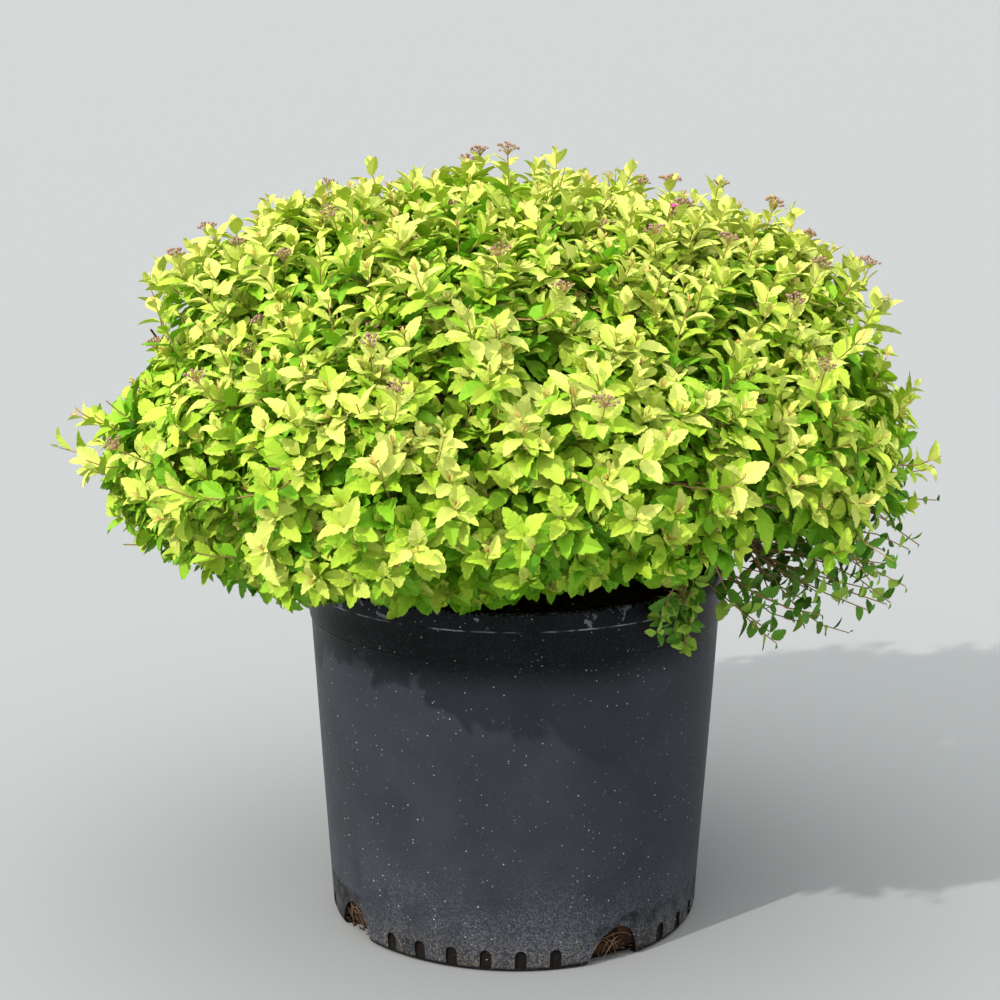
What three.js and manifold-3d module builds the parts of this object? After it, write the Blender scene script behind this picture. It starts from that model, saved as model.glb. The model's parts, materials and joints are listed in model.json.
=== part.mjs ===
// A golden Japanese spirea, a small mounded shrub, in a black nursery container.
//
// Millimetres, +Z up. The origin is the middle of the container's flat underside, and -Y is the
// front. The container holds potting mix to a little below its rim. A short woody stem stands on
// the mix, thin boughs fan out from it under the crown, and each bough ends where it enters a
// mass of foliage. A mass is one stem that branches to the crown's surface, with leaves in a
// spiral on every twig and flat heads of flower buds on some of the upper tips. The dense masses
// have a core that their twigs stand out of. The sprays at the lower right are open.

import * as THREE from "three";
import { mergeVertices } from "three/addons/utils/BufferGeometryUtils.js";
import Module from "manifold-3d";

const wasm = await Module();
wasm.setup();

const { clamp, degToRad, lerp } = THREE.MathUtils;

// ---------------------------------------------------------------- driving dimensions

const CLEARANCE = 0.3; // between pieces that touch, and between a mass and its space's sides
const GOLDEN_ANGLE = Math.PI * (3 - Math.sqrt(5)); // between one leaf, or one tip, and the next

// The container: a tapered blow-moulded pot with a rolled lip, a plain band under it and a small
// step where the next pot stacks. Four arches and rows of shallow slots drain its foot.
const POT = {
  height: 245,
  lipRadius: 141,
  lipHeight: 12,
  bandRadius: 139.4,
  stepHeight: 213,
  wallTopRadius: 138.2,
  footRadius: 125.6,
  footRounding: 6,
  wall: 2.3,
  floor: 2.5,
  segments: 40,
};
const ARCH = { count: 4, firstAngle: -59, width: 40, height: 25, reach: 12 };
const SLOT = { perQuarter: 6, spacing: 10.4, width: 5.5, height: 11, foot: 4, depth: 1.1 };

const SOIL = { top: 222, crown: 2.5, flatRadius: 46, segments: 24 };

// The short woody stem at the foot, from its root flare to where the boughs fork.
const STEM = { height: 38, flareRadius: 27, waistRadius: 17, lobes: 5, lobeDepth: 0.12, sides: 15 };

// The crown is an ellipsoid, higher above its widest level than it is deep below it, with low
// swells in it, and it sags beside the container on its right. Its foliage is a shell: inside
// it the boughs are bare.
const CROWN = {
  centre: new THREE.Vector3(-8, 0, 322),
  halfWidth: 290,
  halfDepth: 280,
  above: 190,
  below: 126,
  sag: 0.34, // how much deeper it is at the right than at the left
  lift: 0.36, // how much shallower it is at the front, where it clears the container's lip
  hollow: 0.44, // the share of the crown's reach that is bare inside
};

// The rings of foliage masses: azimuths and elevation in degrees, the tint and the relative size
// of the leaves, and whether the masses have a core. The bottom ring is dense on five sides of
// the pot and open on two.
const bottomRing = spread(7, 50);
const RINGS = [
  { name: "top", azimuths: [0], elevation: 90, tint: "leafGold", leafSize: 1, dense: true },
  { name: "upper", azimuths: spread(5, -90), elevation: 47, tint: "leafGold", leafSize: 1, dense: true },
  { name: "side", azimuths: spread(8, -68), elevation: 8, tint: "leafLime", leafSize: 1, dense: true },
  {
    name: "skirt",
    azimuths: bottomRing.slice(0, 5),
    elevation: -36,
    tint: "leafGreen",
    leafSize: 0.9,
    dense: true,
  },
  {
    name: "spray",
    azimuths: bottomRing.slice(5),
    elevation: -36,
    tint: "leafGreen",
    leafSize: 0.62,
    dense: false,
  },
];

// Where the boughs of a ring leave the woody stem, and how steeply they rise before they arch.
const BOUGH_FOOT = {
  top: { radius: 0, height: 30, rise: 1 },
  upper: { radius: 8, height: 26, rise: 1.3 },
  side: { radius: 11, height: 17, rise: 0.9 },
  skirt: { radius: 12, height: 8, rise: 0.75 },
  spray: { radius: 12, height: 8, rise: 0.75 },
};
const BOUGH = { baseRadius: 4, tipRadius: 3, sides: 5, steps: 4, bend: 0.35, leastRise: 12 };

// A mass's stem runs on from its bough, and its twigs leave the stem's outer part. Shares are of
// the crown's reach.
const MASS_STEM = { reach: 0.76, lead: 0.4, baseRadius: 3, tipRadius: 2.4, sides: 5, steps: 2 };
const CORE = { centre: 0.67, inner: 0.53, outer: 0.8, margin: 2.5, longest: 130, halvings: 12 };
const TWIG = {
  count: 96,
  firstFoot: 0.3,
  lastFoot: 0.95,
  arch: 12,
  baseRadius: 1.6,
  tipRadius: 1.2,
  sides: 3,
  steps: 2,
};
const TIP = { nearest: 0.84, furthest: 0.96, lowestSine: -0.86, scatter: 0.2 };
const LEAF = {
  perTwig: 5,
  firstPlace: 0.5,
  lastPlace: 0.985,
  length: 58,
  width: 27,
  thickness: 1.1,
  fold: 3.5,
  widest: 0.42,
  firstSpread: 1.25, // radians between the twig and its lowest leaf
  lastSpread: 0.65,
  towardsLight: 0.9,
};
const BUDS = { lowestSine: 0.25, share: 0.5, radius: 9, height: 8, sides: 5, sunk: 2 };

// Azimuths in degrees, evenly round a ring.
function spread(count, first) {
  return Array.from({ length: count }, (_, i) => first + (360 / count) * i);
}

// ---------------------------------------------------------------- materials

const finishes = {
  pot: { color: 0x232528, roughness: 0.5 },
  soil: { color: 0x3a2a1e, roughness: 0.95 },
  bark: { color: 0x6b4a33, roughness: 0.85 },
  leafGold: { color: 0xd3dc5a, roughness: 0.55 },
  leafLime: { color: 0xa5c83c, roughness: 0.55 },
  leafGreen: { color: 0x6c9f2a, roughness: 0.55 },
};
const materials = Object.fromEntries(
  Object.entries(finishes).map(([name, finish]) => [name, new THREE.MeshStandardMaterial(finish)]),
);

// ---------------------------------------------------------------- solids and meshes

// A closed solid from corners (Vector3) and triangles of their indices.
function solidFrom(corners, triangles) {
  return new wasm.Manifold(
    new wasm.Mesh({
      numProp: 3,
      vertProperties: new Float32Array(corners.flatMap((p) => [p.x, p.y, p.z])),
      triVerts: new Uint32Array(triangles.flat()),
    }),
  );
}

// A closed solid from a three.js geometry.
function solidOf(geometry) {
  const bare = geometry.clone();
  bare.deleteAttribute("normal");
  bare.deleteAttribute("uv");
  const merged = mergeVertices(bare, 1e-3);
  return new wasm.Manifold(
    new wasm.Mesh({
      numProp: 3,
      vertProperties: merged.attributes.position.array,
      triVerts: new Uint32Array(merged.index.array),
    }),
  );
}

// The one body of a fused solid: loose scraps are dropped and sealed hollows are filled.
function wholeOf(solid) {
  return solid.decompose().reduce((best, body) => (body.volume() > best.volume() ? body : best));
}

// The named mesh of a solid.
function meshOf(name, solid, material) {
  const { vertProperties, triVerts } = solid.getMesh();
  const geometry = new THREE.BufferGeometry()
    .setAttribute("position", new THREE.BufferAttribute(vertProperties, 3))
    .setIndex(new THREE.BufferAttribute(triVerts, 1))
    .toNonIndexed();
  geometry.computeVertexNormals();
  const mesh = new THREE.Mesh(geometry, materials[material]);
  mesh.name = name;
  return mesh;
}

// A profile of [radius, height] pairs turned round the Z axis.
function turned(profile, segments) {
  const points = profile.map(([radius, height]) => new THREE.Vector2(radius, height));
  return new THREE.LatheGeometry(points, segments).rotateX(Math.PI / 2);
}

// A curved limb that tapers, with flat ends. Its stretches between its steps are straight.
function limb(curve, { baseRadius, tipRadius, sides, steps }, extra = 0) {
  const { normals, binormals } = curve.computeFrenetFrames(steps, false);
  const corners = [];
  const triangles = [];
  for (let i = 0; i <= steps; i++) {
    const radius = lerp(baseRadius, tipRadius, i / steps) + extra;
    for (let s = 0; s < sides; s++) {
      const angle = (2 * Math.PI * s) / sides;
      corners.push(
        curve
          .getPointAt(i / steps)
          .addScaledVector(normals[i], radius * Math.cos(angle))
          .addScaledVector(binormals[i], radius * Math.sin(angle)),
      );
    }
  }
  for (let i = 0; i < steps; i++) {
    for (let s = 0; s < sides; s++) {
      const a = i * sides + s;
      const b = i * sides + ((s + 1) % sides);
      triangles.push([a, b, b + sides], [a, b + sides, a + sides]);
    }
  }
  const last = steps * sides;
  for (let s = 1; s < sides - 1; s++) {
    triangles.push([0, s + 1, s], [last, last + s, last + s + 1]);
  }
  return { solid: solidFrom(corners, triangles), corners };
}

// A point on the axis of a limb.
function pointOnLimb(curve, steps, along) {
  const step = Math.min(Math.floor(along * steps), steps - 1);
  const from = curve.getPointAt(step / steps);
  return from.lerp(curve.getPointAt((step + 1) / steps), along * steps - step);
}

// Evenly spread numbers from 0 to 1 that are the same on every run.
function seededRandom(seed) {
  let state = seed >>> 0;
  return () => {
    state = (state + 0x6d2b79f5) >>> 0;
    let mixed = Math.imul(state ^ (state >>> 15), state | 1);
    mixed ^= mixed + Math.imul(mixed ^ (mixed >>> 7), mixed | 61);
    return ((mixed ^ (mixed >>> 14)) >>> 0) / 4294967296;
  };
}

// ---------------------------------------------------------------- the container

function potWallRadius(height) {
  return lerp(POT.footRadius, POT.wallTopRadius, height / POT.stepHeight);
}

function makePot() {
  const { height, lipRadius, bandRadius, stepHeight, footRounding, wall, floor } = POT;
  const lipFoot = height - POT.lipHeight;
  const flatRadius = potWallRadius(0) - footRounding;
  const outside = [
    [0, 0],
    [flatRadius, 0],
    [potWallRadius(0) - footRounding * 0.3, footRounding * 0.3],
    [potWallRadius(footRounding), footRounding],
    [potWallRadius(stepHeight) - 0.4, stepHeight - 2],
    [bandRadius, stepHeight],
    [bandRadius, lipFoot - 1],
    [lipRadius, lipFoot + 1],
    [lipRadius, height - 2],
    [lipRadius - 1.6, height],
  ];
  const inside = [
    [lipRadius - 4.2, height],
    [bandRadius - wall, lipFoot],
    [potWallRadius(stepHeight) - wall, stepHeight - 4],
    [potWallRadius(footRounding) - wall, footRounding + 1],
    [flatRadius - wall, floor],
    [0, floor],
  ];
  let pot = solidOf(turned([...outside, ...inside], POT.segments));
  const quarter = 360 / ARCH.count;
  for (const archAngle of spread(ARCH.count, ARCH.firstAngle)) {
    pot = pot.subtract(drainArch(archAngle));
    for (let s = 0; s < SLOT.perQuarter; s++) {
      const fromMiddle = (s - (SLOT.perQuarter - 1) / 2) * SLOT.spacing;
      pot = pot.subtract(footSlot(archAngle + quarter / 2 + fromMiddle));
    }
  }
  return pot;
}

// One drain: an arch through the foot of the wall and the rim of the floor.
function drainArch(degrees) {
  const { width, height, reach } = ARCH;
  const below = -2;
  const outline = new THREE.Shape();
  outline.moveTo(-width / 2, below);
  outline.lineTo(width / 2, below);
  outline.quadraticCurveTo(width * 0.42, height * 0.95, width * 0.08, height);
  outline.quadraticCurveTo(-width * 0.36, height * 0.9, -width / 2, below);
  const cutter = new THREE.ExtrudeGeometry(outline, {
    depth: reach * 2.5,
    bevelEnabled: false,
    curveSegments: 5,
  });
  cutter.rotateX(Math.PI / 2).rotateZ(Math.PI / 2).translate(POT.footRadius - reach, 0, 0);
  return solidOf(cutter.rotateZ(degToRad(degrees)));
}

// A shallow slot in the outside of the foot.
function footSlot(degrees) {
  const { width, height, foot, depth } = SLOT;
  const cutter = new THREE.BoxGeometry(width, width, height);
  cutter.translate(potWallRadius(foot + height / 2) - depth + width / 2, 0, foot + height / 2);
  return solidOf(cutter.rotateZ(degToRad(degrees)));
}

// The potting mix: it fills the container to a little below the rim.
function makeSoil() {
  const { floor, footRounding, stepHeight } = POT;
  const flats = Math.cos(Math.PI / POT.segments); // the wall's flats lie nearer its axis
  const inner = (height) => (potWallRadius(height) - POT.wall) * flats - CLEARANCE - 0.2;
  const profile = [
    [0, floor + CLEARANCE],
    [inner(0) - footRounding - 1, floor + CLEARANCE],
    [inner(footRounding), footRounding + 3],
    [inner(stepHeight - 5), stepHeight - 5],
    [inner(stepHeight - 5), SOIL.top],
    [SOIL.flatRadius, SOIL.top + SOIL.crown],
    [0, SOIL.top + SOIL.crown],
  ];
  return solidOf(turned(profile, SOIL.segments));
}

// ---------------------------------------------------------------- the crown's shape

// How far the crown reaches outwards, up and down at an azimuth.
function crownReach(azimuth) {
  const { halfWidth, halfDepth, above, below, sag, lift } = CROWN;
  const swell = 1 + 0.03 * Math.sin(3 * azimuth + 0.8) + 0.02 * Math.sin(5 * azimuth - 2);
  const right = Math.max(0, Math.cos(azimuth + 0.2)) ** 3;
  const front = Math.max(0, -Math.sin(azimuth)) ** 2;
  const depth = below * (1 + sag * right - lift * front);
  return { x: halfWidth * swell, y: halfDepth * swell, above, below: depth };
}

// A point of the crown at an azimuth and an elevation in radians: share 1 is on its surface and
// share 0 at its centre.
function crownPoint(azimuth, elevation, share) {
  const reach = crownReach(azimuth);
  const level = Math.cos(elevation) * share;
  const rise = Math.sin(elevation) * share;
  return new THREE.Vector3(
    CROWN.centre.x + reach.x * level * Math.cos(azimuth),
    CROWN.centre.y + reach.y * level * Math.sin(azimuth),
    CROWN.centre.z + (rise > 0 ? reach.above : reach.below) * rise,
  );
}

// The share of the crown's reach at which a point lies.
function crownShare(point) {
  const from = point.clone().sub(CROWN.centre);
  const reach = crownReach(Math.atan2(from.y / CROWN.halfDepth, from.x / CROWN.halfWidth));
  const height = from.z > 0 ? reach.above : reach.below;
  return Math.hypot(from.x / reach.x, from.y / reach.y, from.z / height);
}

// Tips over the whole crown, evenly apart, some further out than others.
function crownTips(random) {
  return Array.from({ length: TWIG.count }, (_, k) => {
    const sine = lerp(1, TIP.lowestSine, (k + 0.5) / TWIG.count);
    const azimuth = k * GOLDEN_ANGLE + TIP.scatter * (random() - 0.5);
    const share = lerp(TIP.nearest, TIP.furthest, random());
    return { sine, place: crownPoint(azimuth, Math.asin(sine), share) };
  });
}

// The foliage masses of every ring: where the bough enters each, where its stem ends, and the
// focus of the space that it keeps to.
function foliageMasses() {
  return RINGS.flatMap((ring) =>
    ring.azimuths.map((degrees, i) => {
      const azimuth = degToRad(degrees);
      const elevation = degToRad(ring.elevation);
      return {
        ring,
        name: ring.azimuths.length > 1 ? ring.name + "_" + (i + 1) : ring.name,
        entry: crownPoint(azimuth, elevation, CROWN.hollow),
        focus: crownPoint(azimuth, elevation, CORE.centre),
        heart: crownPoint(azimuth, elevation, MASS_STEM.reach),
      };
    }),
  );
}

// How far inside a mass's own space a point is: each space ends half way to the next focus.
function depthInSpace(point, mass, masses) {
  const depths = masses.map((other) =>
    other === mass
      ? Infinity
      : (point.distanceToSquared(other.focus) - point.distanceToSquared(mass.focus)) /
        (2 * other.focus.distanceTo(mass.focus)),
  );
  return Math.min(...depths);
}

// ---------------------------------------------------------------- stem and boughs

// The woody stem, grown all round by an extra thickness where a clearance is cut with it.
function makeWoodyStem(extra = 0) {
  const { height, flareRadius, waistRadius, lobes, lobeDepth, sides } = STEM;
  const profile = [
    [0, -extra],
    [flareRadius + extra, -extra],
    [flareRadius * 0.8 + extra, height * 0.14],
    [waistRadius + extra, height * 0.36],
    [waistRadius * 0.94 + extra, height * 0.72],
    [waistRadius * 0.7 + extra, height * 0.95],
    [0, height + extra],
  ];
  const geometry = turned(profile, sides);
  const places = geometry.getAttribute("position");
  for (let i = 0; i < places.count; i++) {
    const angle = Math.atan2(places.getY(i), places.getX(i));
    const swell = 1 + lobeDepth * Math.cos(lobes * angle);
    places.setXY(i, places.getX(i) * swell, places.getY(i) * swell);
  }
  return solidOf(geometry.translate(0, 0, SOIL.top + SOIL.crown + CLEARANCE));
}

// A bough leaves the woody stem, rises and arches outwards to its mass.
function boughCurve({ ring, entry }) {
  const { radius, height, rise } = BOUGH_FOOT[ring.name];
  const out = new THREE.Vector3(entry.x, entry.y, 0);
  const span = out.length();
  out.normalize();
  const foot = out.clone().multiplyScalar(radius);
  foot.z = SOIL.top + SOIL.crown + height;
  const bend = foot.clone().addScaledVector(out, span * BOUGH.bend);
  bend.z += rise * Math.max(BOUGH.leastRise, (entry.z - foot.z) * 0.75);
  return new THREE.QuadraticBezierCurve3(foot, bend, entry);
}

// The stem of a mass runs on from its bough's tip and bends to the middle of the mass.
function massStemCurve(mass, bough) {
  const onward = bough.getTangentAt(1);
  const lead = mass.entry.distanceTo(mass.heart) * MASS_STEM.lead;
  return new THREE.QuadraticBezierCurve3(
    mass.entry.clone().addScaledVector(onward, CLEARANCE),
    mass.entry.clone().addScaledVector(onward, lead),
    mass.heart,
  );
}

// ---------------------------------------------------------------- foliage

// A leaf of eight faces, folded along its midrib: it is as thick at its root, which is sunk in the
// twig, as at its middle, and it thins to its tip and to both edges.
function leaf({ root, direction, normal, length }) {
  const { width, thickness, fold, widest } = LEAF;
  const size = length / LEAF.length;
  const side = normal.clone().cross(direction);
  const at = (along, aside, up) =>
    root
      .clone()
      .addScaledVector(direction, along * length)
      .addScaledVector(side, aside * size)
      .addScaledVector(normal, up * size);
  const corners = [
    at(0, 0, -thickness / 2),
    at(0, 0, thickness / 2),
    at(widest, width / 2, fold),
    at(widest, -width / 2, fold),
    at(widest, 0, thickness / 2),
    at(1, 0, -fold),
  ];
  const [rootUnder, rootOver, left, right, middle, tip] = corners.keys();
  const triangles = [
    [rootOver, left, rootUnder],
    [rootOver, rootUnder, right],
    [rootOver, middle, left],
    [rootOver, right, middle],
    [middle, tip, left],
    [middle, right, tip],
    [rootUnder, left, tip],
    [rootUnder, tip, right],
  ];
  return { solid: solidFrom(corners, triangles), corners };
}

// The leaves of one twig: a spiral along its outer part, the last ones smaller and more upright.
// A leaf's face turns up and out to the light.
function twigLeaves(curve, leafSize, random) {
  const turn = random() * 2 * Math.PI;
  return Array.from({ length: LEAF.perTwig }, (_, k) => {
    const along = lerp(LEAF.firstPlace, LEAF.lastPlace, k / (LEAF.perTwig - 1));
    const root = pointOnLimb(curve, TWIG.steps, along);
    const tangent = curve.getTangentAt(along);
    const aside = new THREE.Vector3(0, 0, 1).cross(tangent).normalize();
    const around = tangent.clone().cross(aside);
    const angle = turn + k * GOLDEN_ANGLE;
    const open = lerp(LEAF.firstSpread, LEAF.lastSpread, along);
    const direction = tangent
      .clone()
      .multiplyScalar(Math.cos(open))
      .addScaledVector(aside, Math.sin(open) * Math.cos(angle))
      .addScaledVector(around, Math.sin(open) * Math.sin(angle));
    const light = root.clone().sub(CROWN.centre).normalize();
    light.z += LEAF.towardsLight;
    const normal = light.addScaledVector(direction, -light.dot(direction)).normalize();
    const length = LEAF.length * leafSize * lerp(1.1, 0.75, along) * lerp(0.9, 1.1, random());
    return { root, direction, normal, length };
  });
}

// A flat head of flower buds that opens outwards from a twig's tip.
function budHead(tip, axis) {
  const { radius, height, sides, sunk } = BUDS;
  const head = new THREE.ConeGeometry(radius, height, sides);
  const middle = tip.clone().addScaledVector(axis, height / 2 - sunk);
  const turn = new THREE.Quaternion().setFromUnitVectors(new THREE.Vector3(0, -1, 0), axis);
  head.applyQuaternion(turn).translate(middle.x, middle.y, middle.z);
  const places = head.getAttribute("position");
  const corners = Array.from({ length: places.count }, (_, i) =>
    new THREE.Vector3().fromBufferAttribute(places, i),
  );
  return { solid: solidOf(head), corners };
}

// The core of a dense mass: from its centre it swells until it nears a side of the mass's space,
// the bare hollow inside the crown or the leafy skin outside.
function massCore(mass, masses) {
  const fitsCore = (point) =>
    clamp(crownShare(point), CORE.inner, CORE.outer) === crownShare(point) &&
    depthInSpace(point, mass, masses) > CORE.margin;
  const geometry = new THREE.IcosahedronGeometry(1, 1);
  const places = geometry.getAttribute("position");
  for (let i = 0; i < places.count; i++) {
    const way = new THREE.Vector3().fromBufferAttribute(places, i);
    let inside = 0;
    let outside = CORE.longest;
    for (let halving = 0; halving < CORE.halvings; halving++) {
      const middle = (inside + outside) / 2;
      if (fitsCore(mass.focus.clone().addScaledVector(way, middle))) inside = middle;
      else outside = middle;
    }
    const place = mass.focus.clone().addScaledVector(way, inside);
    places.setXYZ(i, place.x, place.y, place.z);
  }
  return solidOf(geometry);
}

// One mass: its stem and every twig, leaf and bud head that keeps to its space and clear of limbs.
function makeMass(mass, masses, tips, limbs, random) {
  const fits = ({ solid, corners }) =>
    corners.every((corner) => depthInSpace(corner, mass, masses) > CLEARANCE) &&
    solid.intersect(limbs).isEmpty();
  const pieces = [limb(mass.stem, MASS_STEM).solid];
  if (mass.ring.dense) pieces.push(massCore(mass, masses).subtract(limbs));
  for (const { place, sine } of tips) {
    const along = lerp(TWIG.firstFoot, TWIG.lastFoot, random());
    const foot = pointOnLimb(mass.stem, MASS_STEM.steps, along);
    const bend = foot.clone().lerp(place, 0.5).addScaledVector(mass.stem.getTangentAt(1), TWIG.arch);
    const curve = new THREE.QuadraticBezierCurve3(foot, bend, place);
    const twig = limb(curve, TWIG);
    if (!fits(twig)) continue;
    const grown = twigLeaves(curve, mass.ring.leafSize, random).map(leaf);
    if (sine > BUDS.lowestSine && random() < BUDS.share) {
      grown.push(budHead(place, curve.getTangentAt(1)));
    }
    pieces.push(twig.solid, ...grown.filter(fits).map(({ solid }) => solid));
  }
  return wholeOf(wasm.Manifold.union(pieces));
}

// ---------------------------------------------------------------- the whole plant

const spirea = new THREE.Group();
spirea.add(meshOf("nursery_pot", makePot(), "pot"));
spirea.add(meshOf("potting_mix", makeSoil(), "soil"));
spirea.add(meshOf("woody_stem", makeWoodyStem(), "bark"));

// Foliage keeps out of the container and a little clear of it, and off the stem and boughs.
const potRoom = [
  [0, 0],
  [POT.lipRadius + 3, 0],
  [POT.lipRadius + 3, POT.height + 4],
  [0, POT.height + 4],
];
const stemRoom = makeWoodyStem(CLEARANCE);
const keepClear = [stemRoom, solidOf(turned(potRoom, POT.segments))];

const masses = foliageMasses();
for (const mass of masses) {
  const curve = boughCurve(mass);
  mass.stem = massStemCurve(mass, curve);
  spirea.add(meshOf("bough_" + mass.name, limb(curve, BOUGH).solid.subtract(stemRoom), "bark"));
  keepClear.push(limb(curve, BOUGH, 1).solid);
}
const limbs = wasm.Manifold.union(keepClear);

const tips = crownTips(seededRandom(7));
masses.forEach((mass, i) => {
  const own = tips.filter(({ place }) => depthInSpace(place, mass, masses) > 0);
  const solid = makeMass(mass, masses, own, limbs, seededRandom(100 + i));
  spirea.add(meshOf("foliage_" + mass.name, solid, mass.ring.tint));
});

export default spirea;
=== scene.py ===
# %% [markdown]
# # A golden spirea in its nursery container
#
# A small mounded shrub with yellow-green leaves grows in a black blow-moulded pot. The packed
# model gives the frame: where the pot, the potting mix, the stem, the boughs and the foliage masses
# are. Each of them gets a finished piece here, in metres, in the same place.

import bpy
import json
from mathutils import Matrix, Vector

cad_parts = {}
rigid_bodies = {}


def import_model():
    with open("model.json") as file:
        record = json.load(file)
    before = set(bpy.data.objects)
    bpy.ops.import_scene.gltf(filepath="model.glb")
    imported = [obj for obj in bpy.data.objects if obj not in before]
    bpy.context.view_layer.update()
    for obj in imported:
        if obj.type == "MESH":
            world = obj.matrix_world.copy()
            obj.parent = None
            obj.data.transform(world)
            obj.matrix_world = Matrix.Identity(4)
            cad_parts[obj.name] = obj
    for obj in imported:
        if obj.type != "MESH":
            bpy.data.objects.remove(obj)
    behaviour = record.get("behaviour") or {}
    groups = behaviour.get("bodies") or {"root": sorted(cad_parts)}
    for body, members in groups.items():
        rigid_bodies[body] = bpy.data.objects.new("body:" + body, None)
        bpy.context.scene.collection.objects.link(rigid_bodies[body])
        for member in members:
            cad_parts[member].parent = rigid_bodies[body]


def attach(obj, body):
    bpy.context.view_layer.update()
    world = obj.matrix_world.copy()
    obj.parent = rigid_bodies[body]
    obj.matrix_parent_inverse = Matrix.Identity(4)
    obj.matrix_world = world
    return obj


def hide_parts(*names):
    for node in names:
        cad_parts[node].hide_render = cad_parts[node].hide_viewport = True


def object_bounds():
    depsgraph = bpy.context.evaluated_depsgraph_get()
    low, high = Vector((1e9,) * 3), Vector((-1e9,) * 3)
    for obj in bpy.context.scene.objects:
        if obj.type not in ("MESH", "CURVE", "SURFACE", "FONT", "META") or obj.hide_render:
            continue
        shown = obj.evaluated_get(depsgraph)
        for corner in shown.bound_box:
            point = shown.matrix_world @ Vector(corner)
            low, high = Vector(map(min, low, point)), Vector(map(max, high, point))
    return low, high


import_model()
cad_box = [list(corner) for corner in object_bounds()]
print("solids' box, mm:", [[round(value * 1000) for value in corner] for corner in cad_box])

# %% [markdown]
# ## The camera
#
# The camera stands a metre and a half away and looks down a little, through a short telephoto lens
# that keeps the container's sides straight. It comes first, so that every later piece can be judged
# in its view.

# %% Camera
import json
import math

import bpy
from mathutils import Vector, noise

MM = 0.001  # sizes below are in millimetres, as in the solids' source
LOOKS_DOWN = 0.226  # radians below level
lens = bpy.data.cameras.new("camera")
lens.lens, lens.sensor_width = 82.1, 36
camera = bpy.data.objects.new("camera", lens)
camera.location = Vector((-9.8, -1491, 627.5)) * MM
camera.rotation_euler = (math.pi / 2 - LOOKS_DOWN, 0, 0)
bpy.context.scene.collection.objects.link(camera)
bpy.context.scene.camera = camera
print("camera at", tuple(round(value, 3) for value in camera.location))

# %% [markdown]
# ## Colours and nodes
#
# Paint charts and screens give a colour as an sRGB hex value, but light is added up in linear
# values, so one function turns one into the other. A second one adds any node to any tree, with its
# settings, its values and its links in one line. Materials and geometry trees both use it, and its
# own helper sets the inputs of a node that is there already, such as a material's shader.

# %% Colour and node helpers
def linear(colour):
    """An sRGB hex colour as linear red, green, blue and alpha."""
    channels = [int(colour[i : i + 2], 16) / 255 for i in (1, 3, 5)]
    return [c / 12.92 if c <= 0.04045 else ((c + 0.055) / 1.055) ** 2.4 for c in channels] + [1]


def give(tree, node, **inputs):
    """Set or link inputs. A name has _ for a space, or is in_ and the socket's number."""
    for key, value in inputs.items():
        socket = node.inputs[int(key[3:]) if key.startswith("in_") else key.replace("_", " ")]
        if isinstance(value, bpy.types.Node):
            value = next(output for output in value.outputs if output.enabled)
        if isinstance(value, bpy.types.NodeSocket):
            tree.links.new(value, socket)
        else:
            socket.default_value = value


def add(tree, kind, settings=None, **inputs):
    """Add a node of any kind with its settings and its inputs."""
    node = tree.nodes.new(kind)
    for key, value in (settings or {}).items():
        setattr(node, key, value)
    give(tree, node, **inputs)
    return node


def new_material(name):
    """An empty material with its node tree and its Principled shader."""
    material = bpy.data.materials.new(name)
    material.use_nodes = True
    return material, material.node_tree, material.node_tree.nodes["Principled BSDF"]


def per_mm(size):
    """The scale of a texture whose cells are this many millimetres apart, on Object coordinates."""
    return 1 / (size * MM)


print("mid grey in linear:", [round(value, 3) for value in linear("#808080")[:3]])

# %% [markdown]
# ## Blow-moulded polyethylene
#
# The container is black high-density polyethylene, blown into a mould. Fresh from the mould it is
# satin, with a slight ripple. Outdoors the wall takes a thin veil of dust, white lime specks from
# the watering, scratches, and near the ground a haze of dried splash. The dust veil stops below the
# band, so the band and the lip stay blacker: partly clean plastic under the leaves and partly
# painted shade of the crown. The lip is worn where hands hold it. Each of these is a mask that lays
# a lighter, rougher colour over the black.

# %% Pot material: patterns
polyethylene, nodes, shader = new_material("moulded_polyethylene")
place = add(nodes, "ShaderNodeTexCoord").outputs["Object"]
cloud = add(nodes, "ShaderNodeTexNoise", Vector=place, Scale=per_mm(45), Detail=5.0)
ragged = add(nodes, "ShaderNodeTexNoise", Vector=place, Scale=per_mm(9), Detail=4.0)
grit = add(nodes, "ShaderNodeTexNoise", Vector=place, Scale=per_mm(1.6), Detail=3.0)
ripple = add(nodes, "ShaderNodeTexNoise", Vector=place, Scale=per_mm(14), Detail=2.0)
axes = add(nodes, "ShaderNodeSeparateXYZ", Vector=place).outputs
height = axes["Z"]
print("patterns of 45, 9, 1.6 and 14 mm")

# %% [markdown]
# The specks are cells of a Voronoi pattern, 3.4 mm apart: a cell holds a dot half a millimetre wide
# only if its first random number is high, and lower down more of them are. The second one makes
# most dots faint. The splash is the same pattern 1.2 mm apart, which is coarser than life so that
# it shows. Map Range makes a ramp from 0 to 1 between two values, and Math does the sums.

# %% Pot material: specks and splash
SMOOTH = {"interpolation_type": "SMOOTHSTEP"}
PRODUCT, SCALE_AND_ADD = {"operation": "MULTIPLY"}, {"operation": "MULTIPLY_ADD"}
specks = add(nodes, "ShaderNodeTexVoronoi", Vector=place, Scale=per_mm(3.4)).outputs
speck_luck = add(nodes, "ShaderNodeSeparateColor", Color=specks["Color"]).outputs
low_wall = add(nodes, "ShaderNodeMapRange", SMOOTH, Value=height, From_Min=0.16, From_Max=0.02)
more_low = add(nodes, "ShaderNodeMath", SCALE_AND_ADD, in_0=low_wall, in_1=0.14, in_2=speck_luck["Red"])
strong_few = add(nodes, "ShaderNodeMath", {"operation": "POWER"}, in_0=speck_luck["Green"], in_1=2.0)
strength = add(nodes, "ShaderNodeMath", SCALE_AND_ADD, in_0=strong_few, in_1=0.8, in_2=0.15)
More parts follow.
